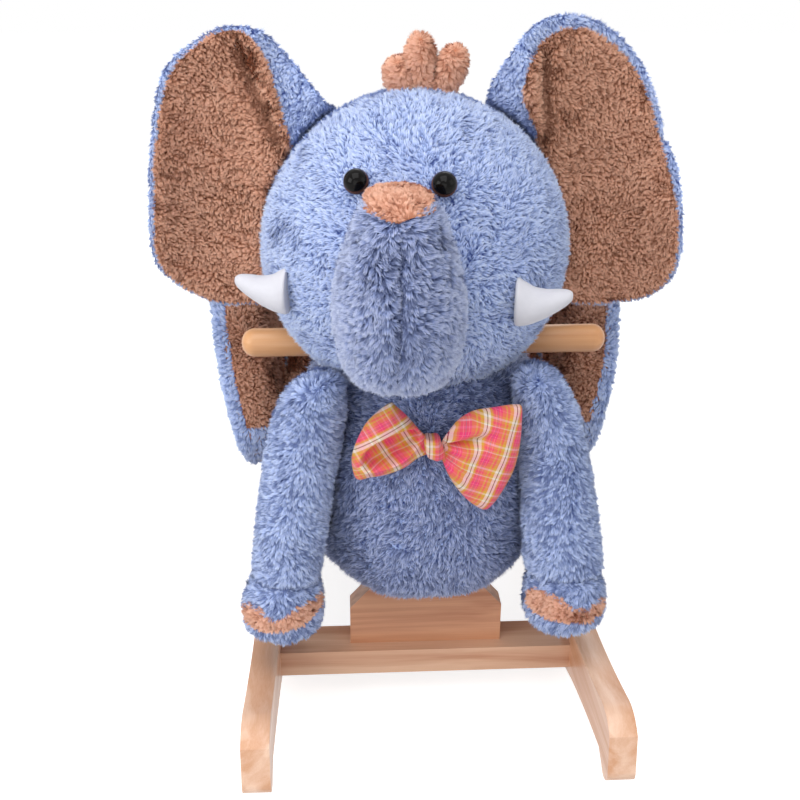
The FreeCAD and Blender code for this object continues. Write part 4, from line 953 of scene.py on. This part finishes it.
def ear_face(name, x, z):
    """Depth of the ear's middle layer: a cup, -84 + 24 * (1 - across ^ 2) * (1 - 0.45 * up ^ 2), with the
    fold along the lining's upper inner edge. Near the head it is the larger of that and the depth of a
    ball round the head, rounded where the two meet: (a + b + hypot(a - b, rounding)) / 2."""
    middle_x, middle_z = ear_middles[name]
    wide = np.clip(np.abs(x - middle_x) / 56.0, 0, 1.3)
    tall = np.clip(np.abs(z - middle_z) / 102.0, 0, 1.2)
    cup = -84.0 + 24.0 * (1 - wide ** 2) * (1 - 0.45 * tall ** 2)
    ridge, crease, fall = ear_fold(name, x, z)
    folded = cup - 5.0 * ridge + 4.5 * crease + 12.0 * fall
    off_head = np.hypot(x - head_middle[0], z - head_middle[2])
    behind_head = head_middle[1] + np.sqrt(np.clip(ear_clear_radius ** 2 - off_head ** 2, 0, None))
    return (folded + behind_head + np.hypot(folded - behind_head, rounding_at_head)) / 2


lean_of_root, root_y = math.radians(17.0), -67.0
for ear_name, ear_side in (("left", 1), ("right", -1)):
    body_name = ear_name + "_ear"

    def cover_front(x, z, r, ear_name=ear_name):
        """3.6 mm in front of the middle layer, drawn in at the edge as the root of 1 - r ^ 5."""
        return ear_face(ear_name, x, z) - 3.6 * np.sqrt(np.clip(1 - r ** 5, 0, 1))

    def cover_back(x, z, r, ear_name=ear_name):
        """5.5 mm behind the middle layer, measured square to it: more along Y where it is steep."""
        slope_x = ear_face(ear_name, x + 0.5, z) - ear_face(ear_name, x - 0.5, z)
        slope_z = ear_face(ear_name, x, z + 0.5) - ear_face(ear_name, x, z - 0.5)
        steep = np.minimum(np.sqrt(1 + slope_x ** 2 + slope_z ** 2), 3.0)
        return ear_face(ear_name, x, z) + 5.5 * steep * np.sqrt(np.clip(1 - r ** 5, 0, 1))

    flat = pad(ear_outlines[ear_name], ear_middles[ear_name], cover_front, cover_back, 26)
    ear_grid = flat[..., [0, 2, 1]] * mm
    root_table = [
        (head_middle[0] + ear_side * (104.0 - s * math.sin(lean_of_root)), root_y,
         400.0 + s * math.cos(lean_of_root), r, r, 1.0)
        for s, r in ((-36.0, 1.5), (-35.0, 4.0), (-24.0, 5.4), (0.0, 5.6), (20.0, 5.4), (30.0, 4.0),
                     (31.0, 1.5))
    ]
    root_grid = rings(root_table, (1, 0, 0), (0, 1, 0), 30, 40)
    ear_cover = skin("ear_" + ear_name + "_cover", [ear_grid, root_grid], blue_backing)
    soft_piece(ear_cover, body_name, "blue_plush", 0.3, "ear_" + ear_name)

    lining_edge = closed_curve(ear_linings[ear_name], 240)

    def inside_lining(roots, lining_edge=lining_edge):
        """Even-odd count of the lining's edges to the right of each root, seen from the front."""
        x, z = roots[:, 0:1] / mm, roots[:, 2:3] / mm
        a, b = lining_edge, np.roll(lining_edge, -1, axis=0)
        crosses = (a[None, :, 1] > z) != (b[None, :, 1] > z)
        at_x = (b[:, 0] - a[:, 0]) * (z - a[:, 1]) / (b[:, 1] - a[:, 1] + 1e-9) + a[:, 0]
        return (crosses & (x < at_x)).sum(axis=1) % 2 == 1

    def near_head_painted_shade(roots):
        """Painted shade where the ear meets the head."""
        off_head = np.hypot(roots[:, 0] - head_middle[0] * mm, roots[:, 2] - head_middle[2] * mm)
        return 0.06 - 0.5 * np.exp(-((off_head - 0.106) / 0.024) ** 2), np.ones(len(roots))

    def blue_seen(roots, up, inside_lining=inside_lining):
        """Leaves out the front of the flap that the lining covers."""
        return ~(inside_lining(roots) & (up[:, 1] < 0))

    ear_pile = pile("ear_" + ear_name + "_pile", [ear_grid], blue_strand, 132000, 3.5, 1.05,
                    seed=51 + ear_side, lean=1.2, loose=1.0, keep=blue_seen, shade=near_head_painted_shade)
    pile_piece(ear_pile, body_name)

    def lining_front(x, z, r, ear_name=ear_name):
        """3.4 mm in front of the lining's seam, drawn in at the edge as the root of 1 - r ^ 8."""
        return ear_face(ear_name, x, z) - 3.4 - 3.4 * np.sqrt(np.clip(1 - r ** 8, 0, 1))

    def lining_back(x, z, r, ear_name=ear_name):
        """1.6 mm behind the lining's seam, inside the ear, drawn in at the edge in the same way."""
        return ear_face(ear_name, x, z) - 3.4 + 1.6 * np.sqrt(np.clip(1 - r ** 8, 0, 1))

    flat = pad(ear_linings[ear_name], ear_middles[ear_name], lining_front, lining_back, 26)
    lining = flat[..., [0, 2, 1]] * mm
    lining_cover = skin("ear_" + ear_name + "_lining_cover", [lining], brown_backing)
    soft_piece(lining_cover, body_name, "brown_plush", 0.2, "ear_lining_" + ear_name)

    def front_only(roots, up):
        """Strands on the front of the lining only."""
        return up[:, 1] < -0.05

    def fold_painted_shade(roots, ear_name=ear_name):
        """Painted shade in the crease beside the fold, where the strands are also shorter, and a faint
        painted highlight on the fold itself.
        """
        ridge, crease, fall = ear_fold(ear_name, roots[:, 0] / mm, roots[:, 2] / mm)
        return 0.06 * ridge - 0.6 * crease, 1 - 0.2 * crease

    lining_pile = pile("ear_" + ear_name + "_lining_pile", [lining], brown_strand, 216000, 3.6, 0.92,
                       seed=61 + ear_side, lean=0.8, tuft=1.9, loose=2.0, keep=front_only, shade=fold_painted_shade)
    pile_piece(lining_pile, body_name)

# Front legs. Long stuffed tubes that hang from the shoulders, pinched at the ankle above a round
# foot, with a tan patch that dips in the middle sewn round its front.

leg_tables = {
    "left": [
        # z, centre x, centre y, half width, half depth
        (297.5, 72.0, -166.0, 2.0, 2.0), (296.0, 72.0, -166.0, 9.0, 10.0), (287.0, 75.0, -166.5, 16.0, 17.0),
        (266.0, 82.0, -168.0, 20.5, 20.5), (240.0, 87.0, -171.0, 22.5, 22.5),
        (212.0, 91.5, -175.0, 24.5, 25.0), (178.0, 95.5, -179.5, 26.5, 27.0),
        (150.0, 99.0, -183.0, 27.0, 27.5), (136.0, 100.5, -185.0, 26.8, 27.0),
        (124.0, 101.0, -187.0, 28.6, 29.5), (112.0, 101.0, -188.0, 28.2, 29.5),
        (104.5, 100.5, -188.0, 25.0, 26.0), (101.0, 100.0, -188.0, 16.0, 17.0),
        (100.3, 100.0, -188.0, 4.0, 4.0),
    ],
    "right": [
        (294.5, -76.0, -166.0, 2.0, 2.0), (293.0, -76.5, -166.0, 9.0, 10.0),
        (285.0, -81.5, -166.5, 17.5, 17.0), (266.0, -86.5, -168.0, 23.0, 21.0),
        (240.0, -92.5, -171.0, 24.5, 23.0), (212.0, -97.5, -175.0, 24.0, 24.5),
        (178.0, -103.0, -179.5, 23.8, 26.0), (150.0, -106.5, -183.0, 23.4, 26.5),
        (136.0, -109.0, -185.0, 24.4, 26.5), (124.0, -110.5, -187.0, 27.8, 29.0),
        (112.0, -111.0, -188.0, 27.5, 29.0), (104.5, -110.5, -188.0, 24.5, 26.0),
        (101.0, -110.5, -188.0, 15.0, 16.0), (100.3, -110.5, -188.0, 4.0, 4.0),
    ],
}
hoof_tops = {
    # place across from the foot's middle, height
    "left": [(-30, 121), (-24, 134), (-17, 137), (-8, 133), (0, 129), (4, 126), (9, 125), (15, 128),
             (20, 129), (27, 123)],
    "right": [(-28, 123), (-21, 129), (-15, 130), (-8, 126), (-4, 123), (2, 127), (10, 132), (18, 134),
              (24, 132), (29, 127)],
}
hoof_lows = {"left": [(-30, 120), (-10, 118), (10, 115.5), (27, 118)],
             "right": [(-28, 115), (-15, 115.5), (0, 117), (15, 119), (28, 123)]}
ankle_z, ankle_wave, ankle_turn, hoof_front = 0.141, 0.005, 0.016, -0.190
strip_half, strip_off, strip_thick = 27.0 * mm, 1.4 * mm, 2.6 * mm


def ankle_line(x, foot_x):
    """Height of the ankle's crease round the leg: ankle_z + ankle_wave * cos(off / ankle_turn)."""
    return ankle_z + ankle_wave * np.cos((x - foot_x) / ankle_turn)


for leg_name, leg_side in (("left", 1), ("right", -1)):
    body_name = leg_name + "_leg"
    leg_rows = [(x, y, z, wide, deep, 0.95) for z, x, y, wide, deep in leg_tables[leg_name]]
    leg = rings(leg_rows, (1, 0, 0), (0, 1, 0), 110, 84)
    foot_x = leg_rows[-3][0] * mm
    ankle = np.exp(-((leg[..., 2] - ankle_line(leg[..., 0], foot_x)) / 0.0035) ** 2) * 3.6
    leg = leg - outward(leg) * (ankle * mm)[..., None]
    leg_cover = skin("front_leg_" + leg_name + "_cover", [leg], blue_backing)
    soft_piece(leg_cover, body_name, "blue_plush", 0.8, "front_leg_" + leg_name)

    def hoof_band(roots, foot_x=foot_x, leg_name=leg_name):
        """True on the tan patch: the front of the foot between its lower and its upper line."""
        off = (roots[:, 0] - foot_x) / mm
        top_line = np.interp(off, *zip(*hoof_tops[leg_name])) * mm
        low_line = np.interp(off, *zip(*hoof_lows[leg_name])) * mm
        return (roots[:, 2] < top_line) & (roots[:, 2] > low_line) & (roots[:, 1] < hoof_front)

    def leg_seen(roots, up, hoof_band=hoof_band):
        """All of the leg but its patch."""
        return ~hoof_band(roots)

    def leg_painted_shade(roots, foot_x=foot_x):
        """Darker all over, and painted shade in the ankle's crease, where the strands are also shorter."""
        crease = np.exp(-((roots[:, 2] - ankle_line(roots[:, 0], foot_x)) / 0.003) ** 2)
        return -0.24 - 0.30 * crease, 1 - 0.45 * crease

    leg_pile = pile("front_leg_" + leg_name + "_pile", [leg], blue_strand, 112000, 5.0, 0.98,
                    seed=71 + leg_side, tuft=1.9, loose=0.8, keep=leg_seen, shade=leg_painted_shade)
    pile_piece(leg_pile, body_name)

    # The patch: a strip laid on the foot's front, 1.4 mm off it, over a core 2.6 mm behind.
    turn_part = np.linspace(-1.0, 1.0, 60)
    rise_part = np.linspace(0.0, 1.0, 24)[:, None]
    strip_x = foot_x + strip_half * np.sin(turn_part * quarter)
    off = (strip_x - foot_x) / mm
    top_line = np.interp(off, *zip(*hoof_tops[leg_name]))
    low_line = np.interp(off, *zip(*hoof_lows[leg_name]))
    strip_z = (low_line + (top_line - low_line) * rise_part) * mm
    levels = np.array([(z, y, wide, deep) for z, x, y, wide, deep in leg_tables[leg_name]][::-1]).T * mm
    middle_y, wide, deep = (np.interp(strip_z, levels[0], levels[k]) for k in (1, 2, 3))
    bulge = np.sqrt(np.clip(1 - ((strip_x - foot_x) / wide) ** 2, 0.02, 1))
    strip_x = np.broadcast_to(strip_x, strip_z.shape)
    face = np.stack([strip_x, middle_y - deep * bulge - strip_off, strip_z], axis=2)
    core = face + np.array([0.0, strip_thick, 0.0])
    shell = np.concatenate([face, core[:, ::-1]], axis=1)
    hoof_cover = skin("hoof_patch_" + leg_name + "_cover", [shell], tan_backing)
    soft_piece(hoof_cover, body_name, "tan_plush", 0.4, "hoof_patch_" + leg_name)

    def hoof_seen(roots, up):
        """The patch's front."""
        return up[:, 1] < 0.0

    hoof_pile = pile("hoof_patch_" + leg_name + "_pile", [shell], tan_strand, 26000, 4.0, 0.95,
                     seed=81 + leg_side, lean=0.75, tuft=1.8, loose=2.2, keep=hoof_seen)
    pile_piece(hoof_pile, body_name)

# Seat. Padded sides and a high padded back stand round the cushion, blue outside and brown inside,
# each over its own board. The sides lean out a little.

side_share = [
    (0.984, -0.695), (1.0, 0.05), (0.984, 0.735), (0.888, 0.885), (0.681, 0.918), (0.07, 0.726),
    (-0.478, 0.437), (-0.851, 0.038), (-0.970, -0.451), (-0.82, -0.738), (-0.487, -0.888), (0.149, -0.933),
    (0.786, -0.888), (0.928, -0.822),
]
back_share = [
    (0.96, -0.72), (1.0, -0.30), (1.0, 0.15), (0.851, 0.619), (0.459, 0.92), (0.0, 1.0), (-0.459, 0.92),
    (-0.851, 0.619), (-1.0, 0.15), (-1.0, -0.30), (-0.96, -0.72), (-0.88, -0.90), (-0.70, -0.97),
    (0.0, -1.0), (0.70, -0.97), (0.88, -0.90),
]
wall_half, wall_rows, wall_cols, cover_inside, lining_inside = 22.0, 26, 140, 2.0, 4.0


def wall_face(seam, full):
    """Depth of a face that leaves the wall's seam and is full thickness within: seam + (full - seam)
    * sqrt(1 - r ^ 16) at a share r from the wall's middle."""
    return lambda u, v, r: seam + (full - seam) * np.sqrt(np.clip(1 - r ** 16, 0, 1))


def wall_pieces(name, outline, middle, to_place, nodes, seed, counts, lined_from, seam):
    """A padded wall and its lining with their pile. to_place turns the pad's own u, v and depth into
    x, y and z. Where lined_from is set, the inner face is blue too below that height, which rises by 0.35
    of the way back. The seam between the two fabrics runs round the edge at the depth seam."""
    cover_grid = to_place(pad(outline, middle, wall_face(seam, wall_half),
                              wall_face(seam, cover_inside - wall_half), wall_rows, wall_cols))
    cover = skin(name + "_cover", [cover_grid], blue_backing)
    soft_piece(cover, "frame", "blue_plush", 0.8, nodes[0])
    lined_grid = to_place(pad(outline, middle, wall_face(seam, lining_inside - wall_half),
                              wall_face(seam, -wall_half), wall_rows, wall_cols))
    lining_skin = skin(name + "_lining_cover", [lined_grid], brown_backing)
    soft_piece(lining_skin, "frame", "brown_plush", 0.8, nodes[1])

    def lined(roots, up):
        """The brown part of the inner face."""
        return roots[:, 2] > lined_from + 0.35 * roots[:, 1]

    def unlined(roots, up):
        """The blue part of the inner face."""
        return ~lined(roots, up)

    blue = pile(name + "_pile", [cover_grid[:wall_rows + 1]], blue_strand, counts[0], 4.7, 1.3, seed=seed,
                lean=1.1, tuft=2.6)
    pile_piece(blue, "frame")
    if lined_from:
        low = pile(name + "_low_pile", [lined_grid[wall_rows:]], blue_strand, counts[1], 4.7, 1.2,
                   seed=seed + 2, lean=1.1, tuft=2.6, keep=unlined)
        pile_piece(low, "frame")
    brown = pile(name + "_lining_pile", [lined_grid[wall_rows:]], brown_strand, counts[1], 4.1, 1.2,
                 seed=seed + 1, lean=0.8, loose=2.2, keep=lined)
    pile_piece(brown, "frame")


side_middle, side_half_long, side_half_high = (142.0, 23.5, 242.5), 82.0, 100.0
side_lean = math.radians(11.0)
side_outline = [(u * side_half_long, v * side_half_high) for u, v in side_share]
for side_name, side in (("left", 1), ("right", -1)):

    def side_place(grid, side=side):
        """u is along Y and v is along Z; the depth is along X, outwards. Then the side leans out: x =
        depth * cos + v * sin and z = v * cos - depth * sin of the lean, and side mirrors it."""
        u, v, depth = grid[..., 0], grid[..., 1], grid[..., 2]
        x = depth * math.cos(side_lean) + v * math.sin(side_lean)
        z = v * math.cos(side_lean) - depth * math.sin(side_lean)
        return np.stack([side * (side_middle[0] + x), side_middle[1] + u, side_middle[2] + z], axis=2) * mm

    wall_pieces("seat_side_" + side_name, side_outline, (0.0, -10.0), side_place,
                ("seat_side_" + side_name, "seat_side_lining_" + side_name), 91 + side * 3,
                (50000, 70000), 0.222, 15.0)

back_middle, back_half_wide, back_half_high = (0.0, 129.0, 291.5), 147.5, 147.0
back_outline = [(u * back_half_wide, v * back_half_high) for u, v in back_share]


def back_place(grid):
    """u is along X and v is along Z; the depth is along Y, backwards."""
    return np.stack([grid[..., 0], back_middle[1] + grid[..., 2], back_middle[2] + grid[..., 1]], axis=2) * mm


wall_pieces("seat_back", back_outline, (0.0, 0.0), back_place,
            ("seat_back", "seat_back_lining"), 101, (90000, 62000), 0.0, -6.0)

cushion_outline = [(u * 120.0, v * 79.0) for u, v in [
    (0.98, -0.80), (1.0, 0.0), (0.98, 0.80), (0.95, 0.93), (0.82, 0.98), (0.0, 1.0), (-0.82, 0.98),
    (-0.95, 0.93), (-0.98, 0.80), (-1.0, 0.0), (-0.98, -0.80), (-0.95, -0.93), (-0.82, -0.98), (0.0, -1.0),
    (0.82, -0.98), (0.95, -0.93)]]
cushion_seam, cushion_y = 219.0, 22.0


def cushion_top(u, v, r):
    """The crowned top: seam + 11.5 * (1 - r ^ 3.2) ^ 0.6, so that it draws down to its seam."""
    return cushion_seam + 11.5 * np.clip(1 - r ** 3.2, 0, 1) ** 0.6


def cushion_bottom(u, v, r):
    """The flat underside on the seat board: seam - 10.6 * sqrt(1 - r ^ 12)."""
    return cushion_seam - 10.6 * np.clip(1 - r ** 12, 0, 1) ** 0.5


cushion_flat = pad(cushion_outline, (0.0, 0.0), cushion_top, cushion_bottom, 22)
cushion_grid = (cushion_flat + np.array([0.0, cushion_y, 0.0])) * mm
cushion_cover = skin("seat_cushion_cover", [cushion_grid], brown_backing)
soft_piece(cushion_cover, "frame", "brown_plush", 0.7, "seat_cushion")


def cushion_seen(roots, up):
    """The top and sides."""
    return up[:, 2] > -0.2


cushion_pile = pile("seat_cushion_pile", [cushion_grid], brown_strand, 68000, 4.4, 1.3, seed=111,
                    lean=0.8, comb=(0.0, -1.0, 0.0), tuft=1.8, loose=2.2, keep=cushion_seen)
pile_piece(cushion_pile, "frame")

# Bow. A tube of woven check cotton gathered in the middle under a band of the same cloth, stitched
# to the chest, its loops puffed and pleated towards the knot.

cotton, cotton_tree, cotton_sockets = finish_of("plaid_cotton", sheen=0.12, gloss=0.3)
cotton_map = node(cotton_tree, "ShaderNodeSeparateXYZ", {
    0: node(cotton_tree, "ShaderNodeUVMap", uv_map="cloth").outputs[0]})
band_width = 19.0 * mm
pink, rose, orange = paint(234, 58, 114), paint(240, 130, 152), paint(228, 110, 84)
yellow, cream = paint(214, 164, 56), paint(232, 216, 208)
black, slate = paint(36, 30, 36), paint(136, 112, 156)
warp_stops = [
    (0.0, yellow), (0.05, cream), (0.155, black), (0.185, cream), (0.28, yellow), (0.34, orange),
    (0.39, pink), (0.46, rose), (0.475, pink), (0.52, slate), (0.535, pink), (0.60, rose), (0.615, pink),
    (0.67, orange), (0.80, yellow), (0.85, orange), (0.93, yellow),
]
weft_stops = [
    (0.0, yellow), (0.08, cream), (0.16, yellow), (0.24, orange), (0.36, pink), (0.41, rose), (0.43, pink),
    (0.52, orange), (0.62, rose), (0.68, orange), (0.80, cream), (0.84, yellow), (0.90, orange),
]


def stripes(tree, along, offset, band_stops):
    """The check's colour across one set of threads: a repeating ramp with flat bands."""
    turns = sums(tree, "FRACT", sums(tree, "MULTIPLY_ADD", along, 1 / band_width, offset))
    ramp = node(tree, "ShaderNodeValToRGB", {0: turns})
    ramp.color_ramp.interpolation = "CONSTANT"
    while len(ramp.color_ramp.elements) < len(band_stops):
        ramp.color_ramp.elements.new(0.5)
    for element, (place, colour) in zip(ramp.color_ramp.elements, band_stops):
        element.position = place
        element.color = colour
    return ramp.outputs[0]


warp = stripes(cotton_tree, cotton_map.outputs[0], 0.0, warp_stops)
weft = stripes(cotton_tree, cotton_map.outputs[1], 0.35, weft_stops)
per_thread = 2 * math.pi / (0.42 * mm)
warp_thread, weft_thread = (sums(cotton_tree, "SINE", sums(cotton_tree, "MULTIPLY", along, per_thread))
                            for along in cotton_map.outputs[:2])
over_under = sums(cotton_tree, "MULTIPLY", warp_thread, weft_thread)
which_thread = sums(cotton_tree, "MULTIPLY_ADD", over_under, 0.12, 0.36)
cotton_tree.links.new(mixed(cotton_tree, which_thread, warp, weft), cotton_sockets["Base Color"])
cotton_tree.links.new(sums(cotton_tree, "MULTIPLY_ADD", over_under, 0.06, 0.62), cotton_sockets["Roughness"])
cotton_relief = node(cotton_tree, "ShaderNodeBump", {
    "Height": over_under, "Strength": 0.3, "Distance": 0.2 * mm})
cotton_tree.links.new(cotton_relief.outputs[0], cotton_sockets["Normal"])

knot_x, knot_z, knot_y = -1.0, 253.0, -200.0
hollow_x, hollow_z, hollow_tilt = -31.5, 255.5, math.radians(30)
hollow_half_long, hollow_half_wide, hollow_edge = 22.0, 10.0, 0.92
loop_outlines = {
    "right": [(-3, 257), (-11, 266), (-20, 277), (-27, 284), (-31, 287), (-38, 282), (-47, 273),
              (-53, 262), (-57, 251), (-58, 242), (-55, 230), (-46, 231), (-34, 233), (-22, 238),
              (-12, 245), (-4, 249)],
    "left": [(4, 256), (9, 265), (16, 274), (26, 280), (38, 282), (52, 284), (58, 283), (59, 275),
             (59, 262), (58, 248), (55, 234), (49, 220), (42, 208), (36, 203), (28, 207), (19, 216),
             (10, 230), (4, 246)],
}
loop_middles = {"right": (-33.0, 258.0), "left": (34.0, 250.0)}


def hollow_place(x, z):
    """Along and across the open loop's hollow, and how far out of its middle: 1 at its edge."""
    off_x, off_z = x - hollow_x, z - hollow_z
    along = off_x * math.cos(hollow_tilt) + off_z * math.sin(hollow_tilt)
    across = off_z * math.cos(hollow_tilt) - off_x * math.sin(hollow_tilt)
    return along, across, np.hypot(along / hollow_half_long, across / hollow_half_wide)


def loop_face(x, z, r, sign, side):
    """Half thickness of a puffed loop: 11 * sqrt(1 - r ^ 3), pinched towards the knot, with pleats as a
    cosine of the angle round the knot and a wave as a sine of the way from it. The loop on the rider's
    left has a long crease from the knot and a rolled upper edge, each a bell across its angle. The other
    stands open: its edge is a rolled band round a hollow with creases of its own."""
    away = np.hypot(x - knot_x, z - knot_z)
    angle = np.arctan2(z - knot_z, np.abs(x - knot_x))
    inner = np.clip(1 - r ** 4, 0, 1)
    puff = 11.0 * np.sqrt(np.clip(1 - r ** 3, 0, 1)) * np.clip(away / 22.0, 0.35, 1)
    pleat = np.cos(angle * 9 + 0.6 * side) * 1.7 * np.exp(-away / 26.0) * inner
    wave = 1.1 * np.sin(away / 6.0 + angle * 3.0) * inner
    if sign < 0:
        return -(puff + wave)
    if side > 0:
        crease = np.exp(-((angle - 0.27) / (0.07 + away / 420.0)) ** 2) * np.exp(-((away - 18.0) / 19.0) ** 2)
        lifted = np.clip((angle - 0.27) / 0.12, 0, 1) * np.exp(-((away - 22.0) / 20.0) ** 2)
        roll = np.exp(-((angle - 0.78) / 0.10) ** 2) * np.exp(-((away - 20.0) / 13.0) ** 2)
        low = np.exp(-((angle + 0.75) / 0.10) ** 2) * np.exp(-((away - 18.0) / 12.0) ** 2)
        return puff + pleat + wave - (9.0 * crease - 2.0 * lifted + 4.5 * roll + 3.5 * low) * inner
    along, across, out = hollow_place(x, z)
    sunk = 1 / (1 + np.exp((out - hollow_edge) / 0.045))
    folds = np.cos(angle * 11.0 + 0.8) * 1.6 + 1.5 * np.sin(along / 3.6 + across / 5.0)
    edge_roll = 2.0 * np.exp(-((out - 1.15) / 0.16) ** 2)
    return (puff + edge_roll + 0.5 * wave) * (1 - sunk) + (-3.0 + folds) * sunk * np.clip(away / 12.0, 0.3, 1)


def cloth_map(piece, first, second):
    """Gives the piece its cloth map: how far along the threads each corner lies, both ways, in metres."""
    mesh = piece.data
    spots = np.empty(len(mesh.vertices) * 3)
    mesh.vertices.foreach_get("co", spots)
    spots = spots.reshape(-1, 3)
    corner = np.empty(len(mesh.loops), int)
    mesh.loops.foreach_get("vertex_index", corner)
    layer = mesh.uv_layers.new(name="cloth")
    laid = np.stack([first(spots), second(spots)], axis=1)[corner]
    layer.uv.foreach_set("vector", laid.ravel())


thread_x, thread_z = 0.956, 0.295
for loop_name, side in (("left", 1), ("right", -1)):

    def loop_front(x, z, r, side=side):
        """The loop's half thickness, towards the front."""
        return -loop_face(x, z, r, 1, side)

    def loop_back(x, z, r, side=side):
        """0.6 of the plain half thickness, towards the chest."""
        return -loop_face(x, z, r, -1, side) * 0.6

    flat = pad(loop_outlines[loop_name], loop_middles[loop_name], loop_front, loop_back, 44, 220)
    loop_grid = (flat[..., [0, 2, 1]] + np.array([0.0, knot_y, 0.0])) * mm
    loop = skin("bow_loop_" + loop_name + "_cloth", [loop_grid], cotton)

    def across_bands(spots, side=side):
        """The wide bands run along the loop's outer edge, and down into the open loop's hollow."""
        x, z, deep = spots[:, 0] / mm, spots[:, 2] / mm, spots[:, 1] / mm - knot_y
        if side > 0:
            return (thread_x * x - thread_z * z + 0.3 * deep - 2.8) * mm
        along, across, out = hollow_place(x, z)
        on_upper_band = (across > 0) & (out > hollow_edge)
        return (np.where(on_upper_band, across * 1.1 - 7.5, along + 9.0) + 0.3 * deep) * mm

    def along_bands(spots, side=side):
        """The narrow bands cross the wide ones, and draw together towards the knot."""
        x, z, deep = spots[:, 0] / mm, spots[:, 2] / mm, spots[:, 1] / mm - knot_y
        if side < 0:
            along, across, out = hollow_place(x, z)
            on_upper_band = (across > 0) & (out > hollow_edge)
            return (np.where(on_upper_band, along, across * 1.4) + 0.2 * deep) * mm
        away = np.hypot(x - knot_x, z - knot_z)
        spread = np.clip(away / 34.0, 0.3, 1) ** 0.6
        return ((thread_z * x + thread_x * (z - knot_z)) / spread + 0.2 * deep) * mm

    cloth_map(loop, across_bands, along_bands)
    soft_piece(loop, "frame", "plaid_cotton", 0.3, "bow_loop_" + loop_name)

knot_table = [
    (knot_x + 2.2, knot_y - 0.5, 245.4, 2.5, 3.0, 0.8), (knot_x + 2.0, knot_y - 0.5, 245.8, 5.8, 6.5, 0.8),
    (knot_x + 1.2, knot_y - 0.8, 249.0, 6.2, 8.8, 0.8), (knot_x, knot_y - 1.0, 253.0, 6.5, 9.4, 0.8),
    (knot_x - 1.2, knot_y - 0.8, 257.4, 6.2, 8.8, 0.8), (knot_x - 2.0, knot_y - 0.5, 260.8, 5.8, 6.5, 0.8),
    (knot_x - 2.2, knot_y - 0.5, 261.2, 2.5, 3.0, 0.8),
]
knot_grid = rings(knot_table, (1, 0, 0), (0, 1, 0), 50, 80)
pleat_width, pleat_depth = 1.1 * mm, 0.35 * mm
knot_pleats = np.sin((knot_grid[..., 0] - knot_x * mm) / pleat_width) * pleat_depth
knot_grid = knot_grid + outward(knot_grid) * knot_pleats[..., None]
knot = skin("bow_knot_cloth", [knot_grid], cotton)


def knot_across(spots):
    """Across the band."""
    return spots[:, 0] + 0.008


def knot_along(spots):
    """Along the band."""
    return spots[:, 2] - 0.243


cloth_map(knot, knot_across, knot_along)
soft_piece(knot, "frame", "plaid_cotton", 0.5, "bow_knot")
